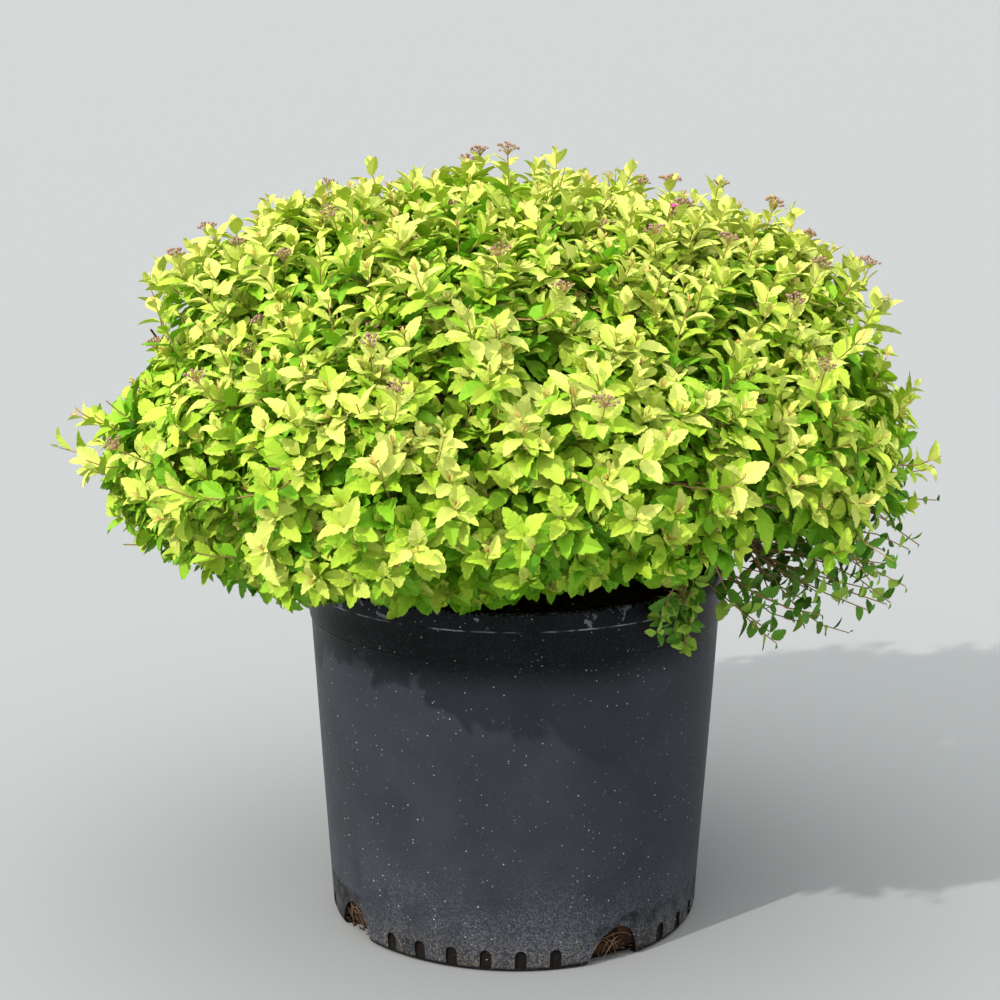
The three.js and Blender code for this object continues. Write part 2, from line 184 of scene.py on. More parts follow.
crumbs = add(nodes, "ShaderNodeTexVoronoi", Vector=place, Scale=per_mm(1.2)).outputs
crumb_luck = add(nodes, "ShaderNodeSeparateColor", Color=crumbs["Color"]).outputs
crumb = add(nodes, "ShaderNodeMapRange", SMOOTH, Value=crumbs["Distance"], From_Min=0.75, From_Max=0.15)
crumb = add(nodes, "ShaderNodeMath", PRODUCT, in_0=crumb_luck["Red"], in_1=crumb)
print("pot material has", len(nodes.nodes), "nodes")

# %% [markdown]
# Scratches are a noise that is stretched to long thin streaks, in two directions. Where the surface
# lies deeper than the wall, in the drain slots and round the foot, it is darkened: partly dirt and
# partly painted shade in the recesses. The depth is the wall's own radius at a height, less the
# distance from the axis.

# %% Pot material: scratches and depth
scratches = 0.0
for turn, apart, low, high in (((0.0, 0.7, 0.2), 1.8, 0.70, 0.75), ((0.0, -1.0, 0.1), 1.6, 0.71, 0.76)):
    long_way = add(nodes, "ShaderNodeMapping", {"vector_type": "TEXTURE"}, Vector=place, Rotation=turn,
                   Scale=(1, 1, 14))
    lines = add(nodes, "ShaderNodeTexNoise", Vector=long_way, Scale=per_mm(apart), Detail=2.0)
    lines = add(nodes, "ShaderNodeMapRange", SMOOTH, Value=lines, From_Min=low, From_Max=high)
    scratches = add(nodes, "ShaderNodeMath", {"operation": "MAXIMUM"}, in_0=scratches, in_1=lines)
level_place = add(nodes, "ShaderNodeCombineXYZ", X=axes["X"], Y=axes["Y"])
radius = add(nodes, "ShaderNodeVectorMath", {"operation": "LENGTH"}, in_0=level_place)
wall_here = add(nodes, "ShaderNodeMath", SCALE_AND_ADD, in_0=height, in_1=0.0592, in_2=0.1256)
depth = add(nodes, "ShaderNodeMath", {"operation": "SUBTRACT"}, in_0=wall_here, in_1=radius)
depth = add(nodes, "ShaderNodeMath", SCALE_AND_ADD, in_0=ragged, in_1=0.0012, in_2=depth)
uneven = add(nodes, "ShaderNodeMath", SCALE_AND_ADD, in_0=cloud, in_1=0.6, in_2=0.4)
print("pot material has", len(nodes.nodes), "nodes")

# %% [markdown]
# Each mask is a product, so a loop makes them all from a table. A part of a mask is a pattern, or a
# pattern with the value where it begins and the value where it is full. The lip has a painted
# highlight along its lower edge, broken into pale dashes, and a few torn patches of thin film.

# %% Pot material: masks
masks = dict(
    mottle=[(cloud, 0.35, 0.65)],
    gritty=[(grit, 0.46, 0.66)],
    # the veil ends below the band, so the band and lip stay dark: partly clean plastic, partly painted shade
    dust_veil_and_painted_shade=[(height, 0.212, 0.188), uneven],
    splash=[(height, 0.085, 0.004), (cloud, 0.30, 0.60), (crumb, 0.0, 0.55)],
    tan_grit=[(height, 0.034, 0.003), (crumb_luck["Green"], 0.55, 0.85)],
    # dirt and painted shade in the drain slots and round the foot
    slot_dirt_and_painted_shade=[(depth, 0.0010, 0.0016), (height, 0.034, 0.03)],
    scratches=[scratches, (ragged, 0.42, 0.60)],
    film=[(height, 0.2325, 0.2335), (ragged, 0.60, 0.62), (cloud, 0.48, 0.52)],
    worn_top=[(height, 0.2425, 0.2445), (grit, 0.50, 0.60)],
    # a painted highlight along the lip's lower edge, broken into pale dashes
    painted_highlight_dashes=[(height, 0.2320, 0.2327), (height, 0.2336, 0.2330), (ragged, 0.38, 0.60), (cloud, 0.40, 0.55)],
    dots=[(specks["Distance"], 0.17, 0.07), (more_low, 0.60, 0.66), strength])
for name, parts in masks.items():
    product = 1.0
    for part in parts:
        if isinstance(part, tuple):
            part = add(nodes, "ShaderNodeMapRange", SMOOTH, Value=part[0], From_Min=part[1], From_Max=part[2])
        product = add(nodes, "ShaderNodeMath", PRODUCT, in_0=product, in_1=part)
    masks[name] = product
print(len(masks), "masks in", len(nodes.nodes), "nodes")

# %% [markdown]
# The layers go on from the oldest to the newest, each with its colour and its strength. Where the
# wall is dusty or splashed it is rougher too. Dust takes most of the sheen away, so the specular
# level is low.

# %% Pot material: layers
COLOURS = {"data_type": "RGBA"}  # in a Mix node of colours, sockets 6 and 7 hold them and 0 their share
colour = add(nodes, "ShaderNodeMix", COLOURS, in_0=masks["mottle"], in_6=linear("#090A0D"),
             in_7=linear("#101216"))
# the veil layer lightens the wall but leaves the band and lip dark, as painted shade
LAYERS = [("gritty", "#2A2F38", 0.35), ("dust_veil_and_painted_shade", "#4E525B", 0.62), ("splash", "#7A808B", 0.55),
          ("tan_grit", "#8A7C68", 0.45), ("slot_dirt_and_painted_shade", "#15100C", 0.95), ("scratches", "#5A5F68", 0.7),
          ("film", "#7E848E", 0.8), ("worn_top", "#6E737B", 0.5), ("painted_highlight_dashes", "#B4B8BD", 0.8),
          ("dots", "#DCDCD8", 1.0)]  # mask, colour and strength
for name, tint, strength in LAYERS:
    share = add(nodes, "ShaderNodeMath", PRODUCT, in_0=masks[name], in_1=strength)
    colour = add(nodes, "ShaderNodeMix", COLOURS, in_0=share, in_6=colour, in_7=linear(tint))
rough = add(nodes, "ShaderNodeMath", SCALE_AND_ADD, in_0=masks["dust_veil_and_painted_shade"], in_1=0.16, in_2=0.36)
rough = add(nodes, "ShaderNodeMath", SCALE_AND_ADD, in_0=masks["splash"], in_1=0.35, in_2=rough)
fine = add(nodes, "ShaderNodeBump", Strength=0.25, Distance=0.0003, Height=grit)
broad = add(nodes, "ShaderNodeBump", Strength=0.3, Distance=0.0012, Height=ripple, Normal=fine)
give(nodes, shader, Base_Color=colour, Roughness=rough, Normal=broad, IOR=1.54, Specular_IOR_Level=0.1)
print("pot material has", len(nodes.nodes), "nodes")

# %% [markdown]
# ## The container
#
# A blown pot is round, so a profile turned round its axis is the natural way to make it. The
# outside goes up from the rounded foot over the long tapered wall, the small stacking step and the
# plain band to the rolled lip, and the inside comes back down. The rounded corners are short arcs
# of points, because they are what catches the light.

# %% Pot profile
POT = dict(height=245, lip_radius=141, lip_height=12, band_radius=139.4, step_height=213,
           wall_top_radius=138.2, foot_radius=125.6, foot_rounding=6, wall=2.3, floor=2.5)


def lerp(first, second, share):
    """A number or a place part of the way from the first to the second."""
    return first + (second - first) * share


def wall_radius(height):
    return lerp(POT["foot_radius"], POT["wall_top_radius"], height / POT["step_height"])


def arc(centre_radius, centre_height, radius, first, last, count=6):
    """Points of an arc in the profile, by angles in degrees from the outward way."""
    angles = [math.radians(lerp(first, last, i / (count - 1))) for i in range(count)]
    return [(centre_radius + radius * math.cos(a), centre_height + radius * math.sin(a)) for a in angles]


lip_foot = POT["height"] - POT["lip_height"]
rounding = POT["foot_rounding"]
outside = [(0, 0), (60, 0), (wall_radius(0) - rounding - 2, 0)]
outside += arc(wall_radius(rounding) - rounding, rounding, rounding, -80, 0)
outside += [(wall_radius(h), h) for h in range(18, 206, 12)]
outside += arc(wall_radius(210) + 1.6, 210, 1.6, 180, 110, 4)
outside += arc(POT["band_radius"] - 1, POT["step_height"] + 1, 1, -60, 0, 4)
outside += [(POT["band_radius"], h) for h in (218, 224)]
outside += arc(POT["band_radius"] + 1, lip_foot - 1.4, 1, 180, 110, 3)
outside += arc(POT["lip_radius"] - 1.1, lip_foot + 1.1, 1.1, -90, 0, 4)
outside += [(POT["lip_radius"], 238.5)]
outside += arc(POT["lip_radius"] - 2.1, POT["height"] - 2.1, 2.1, 0, 180, 9)
wall = POT["wall"]
inside = [(POT["band_radius"] - wall, h) for h in (lip_foot - 1, 216)]
inside += [(wall_radius(h) - wall, h) for h in (208, 150, 90, 30)]
inside += arc(wall_radius(6) - wall - 5, 8, 5, 0, -85, 4) + [(60, POT["floor"]), (0, POT["floor"])]
pot_profile = outside + inside
print("profile of", len(pot_profile), "points, tallest", max(h for r, h in pot_profile), "mm")

# %% [markdown]
# The turning is done by hand: every point of the profile becomes a ring, and neighbouring rings are
# joined by quads. Points on the axis stay single, so that the poles are closed.

# %% Turn a profile
def turned(profile, segments, wobble=None):
    """Corners in mm and faces of a profile of radius and height, turned round the Z axis."""
    corners, faces, rings = [], [], []
    for radius, height in profile:
        if radius == 0:
            rings.append([len(corners)] * segments)
            corners.append(Vector((0, 0, height)))
            continue
        rings.append(list(range(len(corners), len(corners) + segments)))
        for s in range(segments):
            angle = 2 * math.pi * s / segments
            reach = radius + (wobble(angle, height) if wobble else 0)
            corners.append(Vector((reach * math.cos(angle), reach * math.sin(angle), height)))
    for low, high in zip(rings, rings[1:]):
        for s in range(segments):
            t = (s + 1) % segments
            face = [low[s], low[t], high[t], high[s]]
            faces.append([corner for i, corner in enumerate(face) if corner not in face[:i]])
    return corners, faces


def new_piece(name, corners, faces, material=None):
    """A piece at the origin, its place in its mesh, from corners in millimetres."""
    mesh = bpy.data.meshes.new(name)
    mesh.from_pydata([corner * MM for corner in corners], [], faces)
    mesh.shade_smooth()
    if material:
        mesh.materials.append(material)
    piece = bpy.data.objects.new(name, mesh)
    bpy.context.scene.collection.objects.link(piece)
    return piece


# A blown wall is never quite round: it wavers by a few tenths of a millimetre.
def waver(angle, height):
    return 0.25 * math.sin(3 * angle + height / 90) + 0.15 * math.sin(7 * angle - height / 40) - 0.4


pot = new_piece("container", *turned(pot_profile, 192, waver), polyethylene)
print("container before its drains:", len(pot.data.polygons), "faces")

# %% [markdown]
# ## Drain arches and slots
#
# Four arches through the foot and rows of shallow slots between them let the water out. They are
# holes in a turned shape, so the plainest way is to cut them. The arch's outline is two quadratic
# curves, a little lopsided, as a knife leaves it. A slot is a bar with a round top.

# %% Drain outlines
ARCH = dict(count=4, first_angle=-59, width=40, height=25, reach=12)
SLOT = dict(per_quarter=6, spacing=10.4, width=7.6, foot=3, depth=1.5)


def curve_point(start, bend, end, share):
    """A point of a quadratic curve."""
    return lerp(lerp(start, bend, share), lerp(bend, end, share), share)


half, tall = ARCH["width"] / 2, ARCH["height"]
right_foot, left_foot, peak = Vector((half, -2)), Vector((-half, -2)), Vector((3, tall))
right_bend, left_bend = Vector((half * 0.84, tall * 0.95)), Vector((-half * 0.72, tall * 0.9))
arch_outline = [tuple(curve_point(right_foot, right_bend, peak, i / 8)) for i in range(9)]
arch_outline += [tuple(curve_point(peak, left_bend, left_foot, i / 8)) for i in range(1, 9)]
slot_low, slot_half = SLOT["foot"], SLOT["width"] / 2
slot_outline = [(slot_half, slot_low), (slot_half, slot_low + 8.5)]
slot_outline += arc(0, slot_low + 9, slot_half, 15, 165, 6)
slot_outline += [(-slot_half, slot_low + 8.5), (-slot_half, slot_low)]
print("outlines of", len(arch_outline), "and", len(slot_outline), "points")

# %% [markdown]
# One mesh holds all the cutters, which are prisms pushed through the wall or a little way into it,
# and a Boolean modifier takes it away. Sharp edges are marked where faces meet at more than 38
# degrees, so that the lip stays round and the cuts stay crisp.

# %% Cut the drains
def prism(outline, near, far, degrees):
    """Corners and faces of an outline in a wall's plane, pushed from one radius to another."""
    turn, count = math.radians(degrees), len(outline)
    corners = [Vector((reach * math.cos(turn) - aside * math.sin(turn),
                       reach * math.sin(turn) + aside * math.cos(turn), height))
               for reach in (near, far) for aside, height in outline]
    sides = [[i, (i + 1) % count, count + (i + 1) % count, count + i] for i in range(count)]
    return corners, sides + [list(range(count))[::-1], list(range(count, 2 * count))]


cut_corners, cut_faces = [], []
quarter = 360 / ARCH["count"]
for q in range(ARCH["count"]):
    middle = ARCH["first_angle"] + quarter * q
    cuts = [prism(arch_outline, POT["foot_radius"] - ARCH["reach"], POT["foot_radius"] + 18, middle)]
    for s in range(SLOT["per_quarter"]):
        aside = (s - (SLOT["per_quarter"] - 1) / 2) * SLOT["spacing"]
        depth = wall_radius(slot_low + 5) - SLOT["depth"] - 0.4
        cuts.append(prism(slot_outline, depth, depth + 8, middle + quarter / 2 + aside))
    for corners, faces in cuts:
        cut_faces += [[len(cut_corners) + corner for corner in face] for face in faces]
        cut_corners += corners
cutter = new_piece("cutter", cut_corners, cut_faces)
boolean = pot.modifiers.new("drains", "BOOLEAN")
boolean.object = cutter
boolean.solver = "EXACT"


def settle(piece):
    """Keep what a piece's modifiers make as its plain mesh."""
    made = bpy.data.meshes.new_from_object(piece.evaluated_get(bpy.context.evaluated_depsgraph_get()))
    piece.modifiers.clear()
    piece.data = made
    made.name = piece.name
    return piece


settle(pot)
pot.data.set_sharp_from_angle(angle=math.radians(38))
bpy.data.objects.remove(cutter)
print("container:", len(pot.data.polygons), "faces,", ARCH["count"], "arches")

# %% [markdown]
# Every finished piece goes through the same calls. It rides on the shrub's one body and names the
# solids that it stands for, which are then hidden.

# %% Set the container in the frame
def finish_piece(piece, slot, *nodes):
    """Let a piece ride on the body and stand for nodes of the frame. The slot is not used."""
    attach(piece, "root")
    if nodes:
        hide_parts(*nodes)
    piece.data.calc_loop_triangles()
    print(piece.name, len(piece.data.loop_triangles), "triangles")


finish_piece(pot, "pot_plastic", "nursery_pot")

# %% [markdown]
# ## Potting mix
#
# The mix is composted pine bark: dark brown, crumbly and quite matt, with coarse chips and a few
# white grains of perlite on top. The body is a turned shape whose top is roughened by noise. Its
# colour is mottled at the size of the crumbs, about 4 mm.

# %% Potting mix material
bark_mix, nodes, shader = new_material("composted_bark")
place = add(nodes, "ShaderNodeTexCoord").outputs["Object"]
crumb = add(nodes, "ShaderNodeTexVoronoi", Vector=place, Scale=per_mm(4)).outputs["Color"]
crumb = add(nodes, "ShaderNodeSeparateColor", Color=crumb).outputs["Red"]
cloud = add(nodes, "ShaderNodeTexNoise", Vector=place, Scale=per_mm(9), Detail=6.0)
fresh = add(nodes, "ShaderNodeMapRange", SMOOTH, Value=cloud, From_Min=0.5, From_Max=0.75)
brown = add(nodes, "ShaderNodeMix", COLOURS, in_0=crumb, in_6=linear("#20150F"), in_7=linear("#4A3121"))
brown = add(nodes, "ShaderNodeMix", COLOURS, in_0=fresh, in_6=brown, in_7=linear("#5E4630"))
crumbly = add(nodes, "ShaderNodeBump", Strength=0.8, Distance=0.0015, Height=cloud)
give(nodes, shader, Base_Color=brown, Roughness=0.95, Normal=crumbly, Specular_IOR_Level=0.2)
print("potting mix material has", len(nodes.nodes), "nodes")

# %% [markdown]
# The mix fills the container to a little below its rim and is heaped a few millimetres towards the
# middle. It keeps 1.1 mm clear of the wall, so that the two never cut each other.

# %% Potting mix body
SOIL = dict(top=222, crown=2.5)


def inner(height):
    """The mix's radius at a height."""
    return wall_radius(height) - wall - 1.1


soil_profile = [(0, 3), (60, 3), (inner(0) - 7, 3), (inner(6), 9)]
soil_profile += [(inner(h), h) for h in (20, 32, 90, 150, 217)]
soil_profile += [(lerp(inner(217), 0, i / 18), 0) for i in range(1, 18)] + [(0, 0)]
corners, faces = turned(soil_profile, 120)
for corner in corners:
    if corner.z == 0:
        rise = min(1, (inner(217) - math.hypot(corner.x, corner.y)) / 80)
        lumps = noise.fractal(corner / 9, 1, 2, 4, noise_basis="PERLIN_ORIGINAL")
        corner.z = SOIL["top"] - 2 + SOIL["crown"] * rise + 2.2 * max(-1, min(1, lumps))
mix = new_piece("bark_mix", corners, faces, bark_mix)
print("mix top from", round(SOIL["top"] - 4), "to", round(max(c.z for c in corners)), "mm")

# %% [markdown]
# ## Geometry Nodes for what repeats
#
# A geometry tree is a small program that Blender runs on a mesh. One function starts a tree with
# named inputs, and another runs it on a start mesh, sets its inputs and keeps the result as a plain
# mesh, because modifiers and instances don't travel to other programs.

# %% Start and run a geometry tree
def new_tree(name, **inputs):
    """A tree with a geometry input and output, and named inputs of a socket type."""
    tree = bpy.data.node_groups.new(name, "GeometryNodeTree")
    tree.interface.new_socket("Geometry", in_out="INPUT", socket_type="NodeSocketGeometry")
    for label, kind in inputs.items():
        tree.interface.new_socket(label.replace("_", " "), in_out="INPUT", socket_type="NodeSocket" + kind)
    tree.interface.new_socket("Geometry", in_out="OUTPUT", socket_type="NodeSocketGeometry")
    return tree, tree.nodes.new("NodeGroupInput").outputs


def end_tree(tree, geometry, material):
    """End a tree: instances are made real and everything takes the material."""
    real = add(tree, "GeometryNodeRealizeInstances", Geometry=geometry)
    painted = add(tree, "GeometryNodeSetMaterial", Geometry=real, Material=material)
    add(tree, "NodeGroupOutput", in_0=painted)


def run_tree(name, start, tree, **values):
    """A plain piece: what a tree makes from a start mesh with these values."""
    piece = bpy.data.objects.new(name, start)
    bpy.context.scene.collection.objects.link(piece)
    modifier = piece.modifiers.new("make", "NODES")
    modifier.node_group = tree
    for item in tree.interface.items_tree:
        if item.in_out == "INPUT" and item.name.replace(" ", "_") in values:
            modifier[item.identifier] = values[item.name.replace(" ", "_")]
    return settle(piece)


def shape_set(name, pieces):
    """A collection that a tree picks shapes from. It isn't shown."""
    collection = bpy.data.collections.new(name)
    for piece in pieces:
        bpy.context.scene.collection.objects.unlink(piece)
        collection.objects.link(piece)
    return collection


print("Geometry Nodes helpers are ready")

# %% [markdown]
# ## Bark chips
#
# Broken bark lies at random on the mix. A chip is a squashed ball with its corners pushed about.
# Four of them, 8 to 17 mm long, are enough when each is turned its own way.

# %% Chip shapes
from random import Random


def lump(name, size, seed):
    """A small broken lump of this length, width and thickness."""
    dice = Random(seed)
    corners, faces = turned([(0, -0.5), (0.42, -0.3), (0.5, 0.1), (0.3, 0.45), (0, 0.5)], 6)
    shaken = [Vector([(c + dice.uniform(-0.13, 0.13)) * s for c, s in zip(corner, size)])
              for corner in corners]
    return new_piece(name, shaken, faces)


chip_shapes = shape_set("chip_shapes", [
    lump("chip_a", (13, 8, 4), 1), lump("chip_b", (10, 5, 3.5), 2),
    lump("chip_c", (8, 7, 4), 3), lump("chip_d", (17, 5, 3), 4)])

# %% [markdown]
# One tree scatters the shapes over the faces of a mesh that look upwards enough, with a fixed seed,
# each turned and sized at random. Later it drops the perlite and the crumbs as well.

# %% Scatter tree
tree, inputs = new_tree("scatter_on_faces", Shapes="Collection", Least_Up="Float", Density="Float",
                        Smallest="Float", Largest="Float", Seed="Int", Material="Material")
facing = add(tree, "GeometryNodeInputNormal")
up = add(tree, "ShaderNodeSeparateXYZ", Vector=facing).outputs["Z"]
upward = add(tree, "FunctionNodeCompare", {"operation": "GREATER_THAN"}, in_0=up, in_1=inputs["Least Up"])
points = add(tree, "GeometryNodeDistributePointsOnFaces", Mesh=inputs["Geometry"], Selection=upward,
             Density=inputs["Density"], Seed=inputs["Seed"])
turn = add(tree, "FunctionNodeRandomValue", {"data_type": "FLOAT_VECTOR"}, in_0=(-0.5, -0.5, 0),
           in_1=(0.5, 0.5, 6.3), Seed=inputs["Seed"])
size = add(tree, "FunctionNodeRandomValue", in_2=inputs["Smallest"], in_3=inputs["Largest"],
           Seed=inputs["Seed"])
pick = add(tree, "FunctionNodeRandomValue", {"data_type": "INT"}, in_4=0, in_5=3, Seed=inputs["Seed"])
SEPARATE = dict(Separate_Children=True, Reset_Children=True)  # each shape is picked by itself
shapes = add(tree, "GeometryNodeCollectionInfo", Collection=inputs["Shapes"], **SEPARATE)
placed = add(tree, "GeometryNodeInstanceOnPoints", Points=points, Instance=shapes, Pick_Instance=True,
             Instance_Index=pick, Rotation=turn, Scale=size)
end_tree(tree, placed, inputs["Material"])
scatter_tree = tree
print("scatter tree has", len(tree.nodes), "nodes")

# %% [markdown]
# Perlite is volcanic glass that heat has puffed up to white foam: off-white, matt and full of fine
# pores, which show as mottling 1.2 mm across.

# %% Scatter the chips and the perlite
perlite, nodes, shader = new_material("expanded_perlite")
place = add(nodes, "ShaderNodeTexCoord").outputs["Object"]
pores = add(nodes, "ShaderNodeTexNoise", Vector=place, Scale=per_mm(1.2))
white = add(nodes, "ShaderNodeMix", COLOURS, in_0=pores, in_6=linear("#B9B2A4"), in_7=linear("#E8E4DA"))
give(nodes, shader, Base_Color=white, Roughness=0.9)
chips = run_tree("bark_chips", mix.data.copy(), scatter_tree, Shapes=chip_shapes, Least_Up=0.6,
                 Density=15000.0, Smallest=0.5, Largest=1.15, Seed=3, Material=bark_mix)
grains = run_tree("perlite_grains", mix.data.copy(), scatter_tree, Shapes=chip_shapes, Least_Up=0.6,
                  Density=1500.0, Smallest=0.2, Largest=0.34, Seed=8, Material=perlite)
for piece in (mix, chips, grains):
    finish_piece(piece, "potting_mix", "potting_mix")

# %% [markdown]
# The drain arches let the mix be seen from the side. Crumbs a few millimetres long are scattered
# there too, by the same tree on small patches of the mix's side, one behind each arch.

# %% Crumbs behind the arches
def mix_side(degrees, height, above=0.0):
    """A place on the side of the mix, or a little above its surface."""
    out, angle = inner(height) + above, math.radians(degrees)
    return Vector((out * math.cos(angle), out * math.sin(angle), height))


arch_middles = [ARCH["first_angle"] + quarter * q for q in range(ARCH["count"])]
corners, faces = [], []
for middle in arch_middles:
    first = len(corners)
    corners += [mix_side(middle + 2.6 * i, 4 + 5.5 * j) for j in range(5) for i in range(-4, 5)]
    faces += [[first + 9 * j + i, first + 9 * j + i + 1, first + 9 * j + i + 10, first + 9 * j + i + 9]
              for j in range(4) for i in range(8)]
patches = new_piece("mix_side_patches", corners, faces)
crumbs = run_tree("side_crumbs", patches.data.copy(), scatter_tree, Shapes=chip_shapes, Least_Up=-1.0,
                  Density=90000.0, Smallest=0.14, Largest=0.34, Seed=5, Material=bark_mix)
bpy.data.objects.remove(patches)
finish_piece(crumbs, "potting_mix", "potting_mix")

# %% [markdown]
# ## Bark
#
# A spirea's old stems have thin grey-brown bark that splits lengthwise. The colour is a noise that
# is stretched along the height, 3 mm across and four times as long, with darker splits between
# paler ridges, and the same noise raises the ridges. The stem and the boughs share it.

# %% Bark material
bark, nodes, shader = new_material("spirea_bark")
place = add(nodes, "ShaderNodeTexCoord").outputs["Object"]
long_way = add(nodes, "ShaderNodeMapping", Vector=place, Scale=(1, 1, 0.25))
ridges = add(nodes, "ShaderNodeTexNoise", Vector=long_way, Scale=per_mm(3), Detail=5.0, Distortion=0.4)
patches = add(nodes, "ShaderNodeTexNoise", Vector=place, Scale=per_mm(25), Detail=2.0)
raised = add(nodes, "ShaderNodeMapRange", SMOOTH, Value=ridges, From_Min=0.35, From_Max=0.62)
weathered = add(nodes, "ShaderNodeMapRange", SMOOTH, Value=patches, From_Min=0.5, From_Max=0.7, To_Max=0.6)
brown = add(nodes, "ShaderNodeMix", COLOURS, in_0=raised, in_6=linear("#3B2A1E"), in_7=linear("#86694E"))
brown = add(nodes, "ShaderNodeMix", COLOURS, in_0=weathered, in_6=brown, in_7=linear("#8E8271"))
relief = add(nodes, "ShaderNodeBump", Strength=0.7, Distance=0.0008, Height=ridges)
give(nodes, shader, Base_Color=brown, Roughness=0.85, Normal=relief)
print("bark material has", len(nodes.nodes), "nodes")

# %% [markdown]
# ## The woody stem
#
# The stem is short and stout, with a flare where the roots start and five low lobes that run on
# into them. It is turned like the pot, but each point is pushed out by the lobes and by noise.

# %% Woody stem
STEM = dict(lobes=5, lobe_depth=0.12)
stem_foot = SOIL["top"] + SOIL["crown"] + 0.3
stem_profile = [(0, 0), (27, 0), (25.4, 1.5), (22.5, 4), (20.2, 7), (18.3, 10.5), (17.1, 14), (16.6, 19),
                (16.2, 24), (15.2, 29), (13.4, 33), (10.8, 36), (6, 37.5), (0, 38)]
corners, faces = turned(stem_profile, 60)
for corner in corners:
    angle = math.atan2(corner.y, corner.x)
    swell = 1 + STEM["lobe_depth"] * math.cos(STEM["lobes"] * angle)
    grain = Vector((math.cos(angle) * 6, math.sin(angle) * 6, corner.z / 9))
    swell += 0.035 * noise.noise(grain) + 0.02 * noise.noise(grain * 3)
    corner.x, corner.y, corner.z = corner.x * swell, corner.y * swell, corner.z + stem_foot
stem = new_piece("woody_stem_bark", corners, faces, bark)
finish_piece(stem, "bark", "woody_stem")

# %% [markdown]
# ## The crown's rule
#
# The foliage keeps to an ellipsoid that is higher above its widest level than it is deep below it,
# with low swells and a sag on the right. The numbers and functions are those of the solids, so the
# fine twigs fill the same space.

# %% Crown shape
UP = Vector((0, 0, 1))
GOLDEN_ANGLE = math.pi * (3 - math.sqrt(5))
CROWN = dict(centre=Vector((-8, 0, 322)), half_width=290, half_depth=280, above=190, below=126,
             sag=0.34, lift=0.36, hollow=0.44, middle=0.67, heart=0.76)


def crown_reach(azimuth):
    """How far the crown reaches outwards in x and y, and down, at an azimuth."""
    swell = 1 + 0.03 * math.sin(3 * azimuth + 0.8) + 0.02 * math.sin(5 * azimuth - 2)
    right = max(0, math.cos(azimuth + 0.2)) ** 3
    front = max(0, -math.sin(azimuth)) ** 2
    below = CROWN["below"] * (1 + CROWN["sag"] * right - CROWN["lift"] * front)
    return CROWN["half_width"] * swell, CROWN["half_depth"] * swell, below


def crown_point(azimuth, elevation, share):
    """A point of the crown: share 1 is on its surface and share 0 is its centre."""
    wide, deep, below = crown_reach(azimuth)
    level, rise = math.cos(elevation) * share, math.sin(elevation) * share
    return CROWN["centre"] + Vector((wide * level * math.cos(azimuth), deep * level * math.sin(azimuth),
                                     (CROWN["above"] if rise > 0 else below) * rise))


def crown_share(point):
    """The share of the crown's reach at which a point lies."""
    way = point - CROWN["centre"]
    wide, deep, below = crown_reach(math.atan2(way.y / CROWN["half_depth"], way.x / CROWN["half_width"]))
    return math.hypot(way.x / wide, way.y / deep, way.z / (CROWN["above"] if way.z > 0 else below))


print("crown", 2 * CROWN["half_width"], "mm wide,", CROWN["above"] + CROWN["below"], "mm high")

# %% [markdown]
# Rings of masses share the crown out. Each mass has a bough that enters it at one point, a middle,
# and a heart that its own stem runs to. The two masses at the lower right are open sprays.

# %% Masses of the crown
def all_round(count, first):
    """Even azimuths in degrees."""
    return [first + 360 / count * i for i in range(count)]


RINGS = [("top", [0], 90), ("upper", all_round(5, -90), 47), ("side", all_round(8, -68), 8),
         ("skirt", all_round(7, 50)[:5], -36), ("spray", all_round(7, 50)[5:], -36)]
masses = []
for ring, azimuths, elevation in RINGS:
    for i, degrees in enumerate(azimuths):
        way = (math.radians(degrees), math.radians(elevation))
        masses.append(dict(ring=ring, name=f"{ring}_{i + 1}" if len(azimuths) > 1 else ring,
                           entry=crown_point(*way, CROWN["hollow"]), focus=crown_point(*way, CROWN["middle"]),
                           heart=crown_point(*way, CROWN["heart"])))
print(len(masses), "masses:", ", ".join(mass["name"] for mass in masses))

# %% [markdown]
# ## A tree for limbs
#
# Boughs, twigs, shoots, stalks and roots are all lines with a thickness at each point. A geometry
# tree turns such lines into round limbs: Mesh to Curve, a circle along the curve that is scaled by
# the thickness, and noise that pushes the bark in and out.

# %% Limb tree
tree, inputs = new_tree("limbs_from_lines", Sides="Int", Relief="Float", Grain="Float", Material="Material")
curves = add(tree, "GeometryNodeMeshToCurve", Mesh=inputs["Geometry"])
girth = add(tree, "GeometryNodeInputNamedAttribute", {"data_type": "FLOAT"}, Name="girth")
circle = add(tree, "GeometryNodeCurvePrimitiveCircle", Resolution=inputs["Sides"], Radius=1.0)
tubes = add(tree, "GeometryNodeCurveToMesh", Curve=curves, Profile_Curve=circle, Scale=girth, Fill_Caps=True)
rough = add(tree, "ShaderNodeTexNoise", Scale=inputs["Grain"], Detail=3.0)
push = add(tree, "ShaderNodeMath", {"operation": "SUBTRACT"}, in_0=rough, in_1=0.5)
push = add(tree, "ShaderNodeMath", PRODUCT, in_0=push, in_1=inputs["Relief"])
outwards = add(tree, "GeometryNodeInputNormal")
offset = add(tree, "ShaderNodeVectorMath", {"operation": "SCALE"}, in_0=outwards, Scale=push)
pushed = add(tree, "GeometryNodeSetPosition", Geometry=tubes, Offset=offset)
end_tree(tree, add(tree, "GeometryNodeSetShadeSmooth", Geometry=pushed), inputs["Material"])
limb_tree = tree
print("limb tree has", len(tree.nodes), "nodes")

# %% [markdown]
# Fine roots have found the drain arches. They are short lines that wander over the mix behind each
# arch. Their skin is soft and matt, straw-coloured, and stained by the mix in patches of 5 mm.

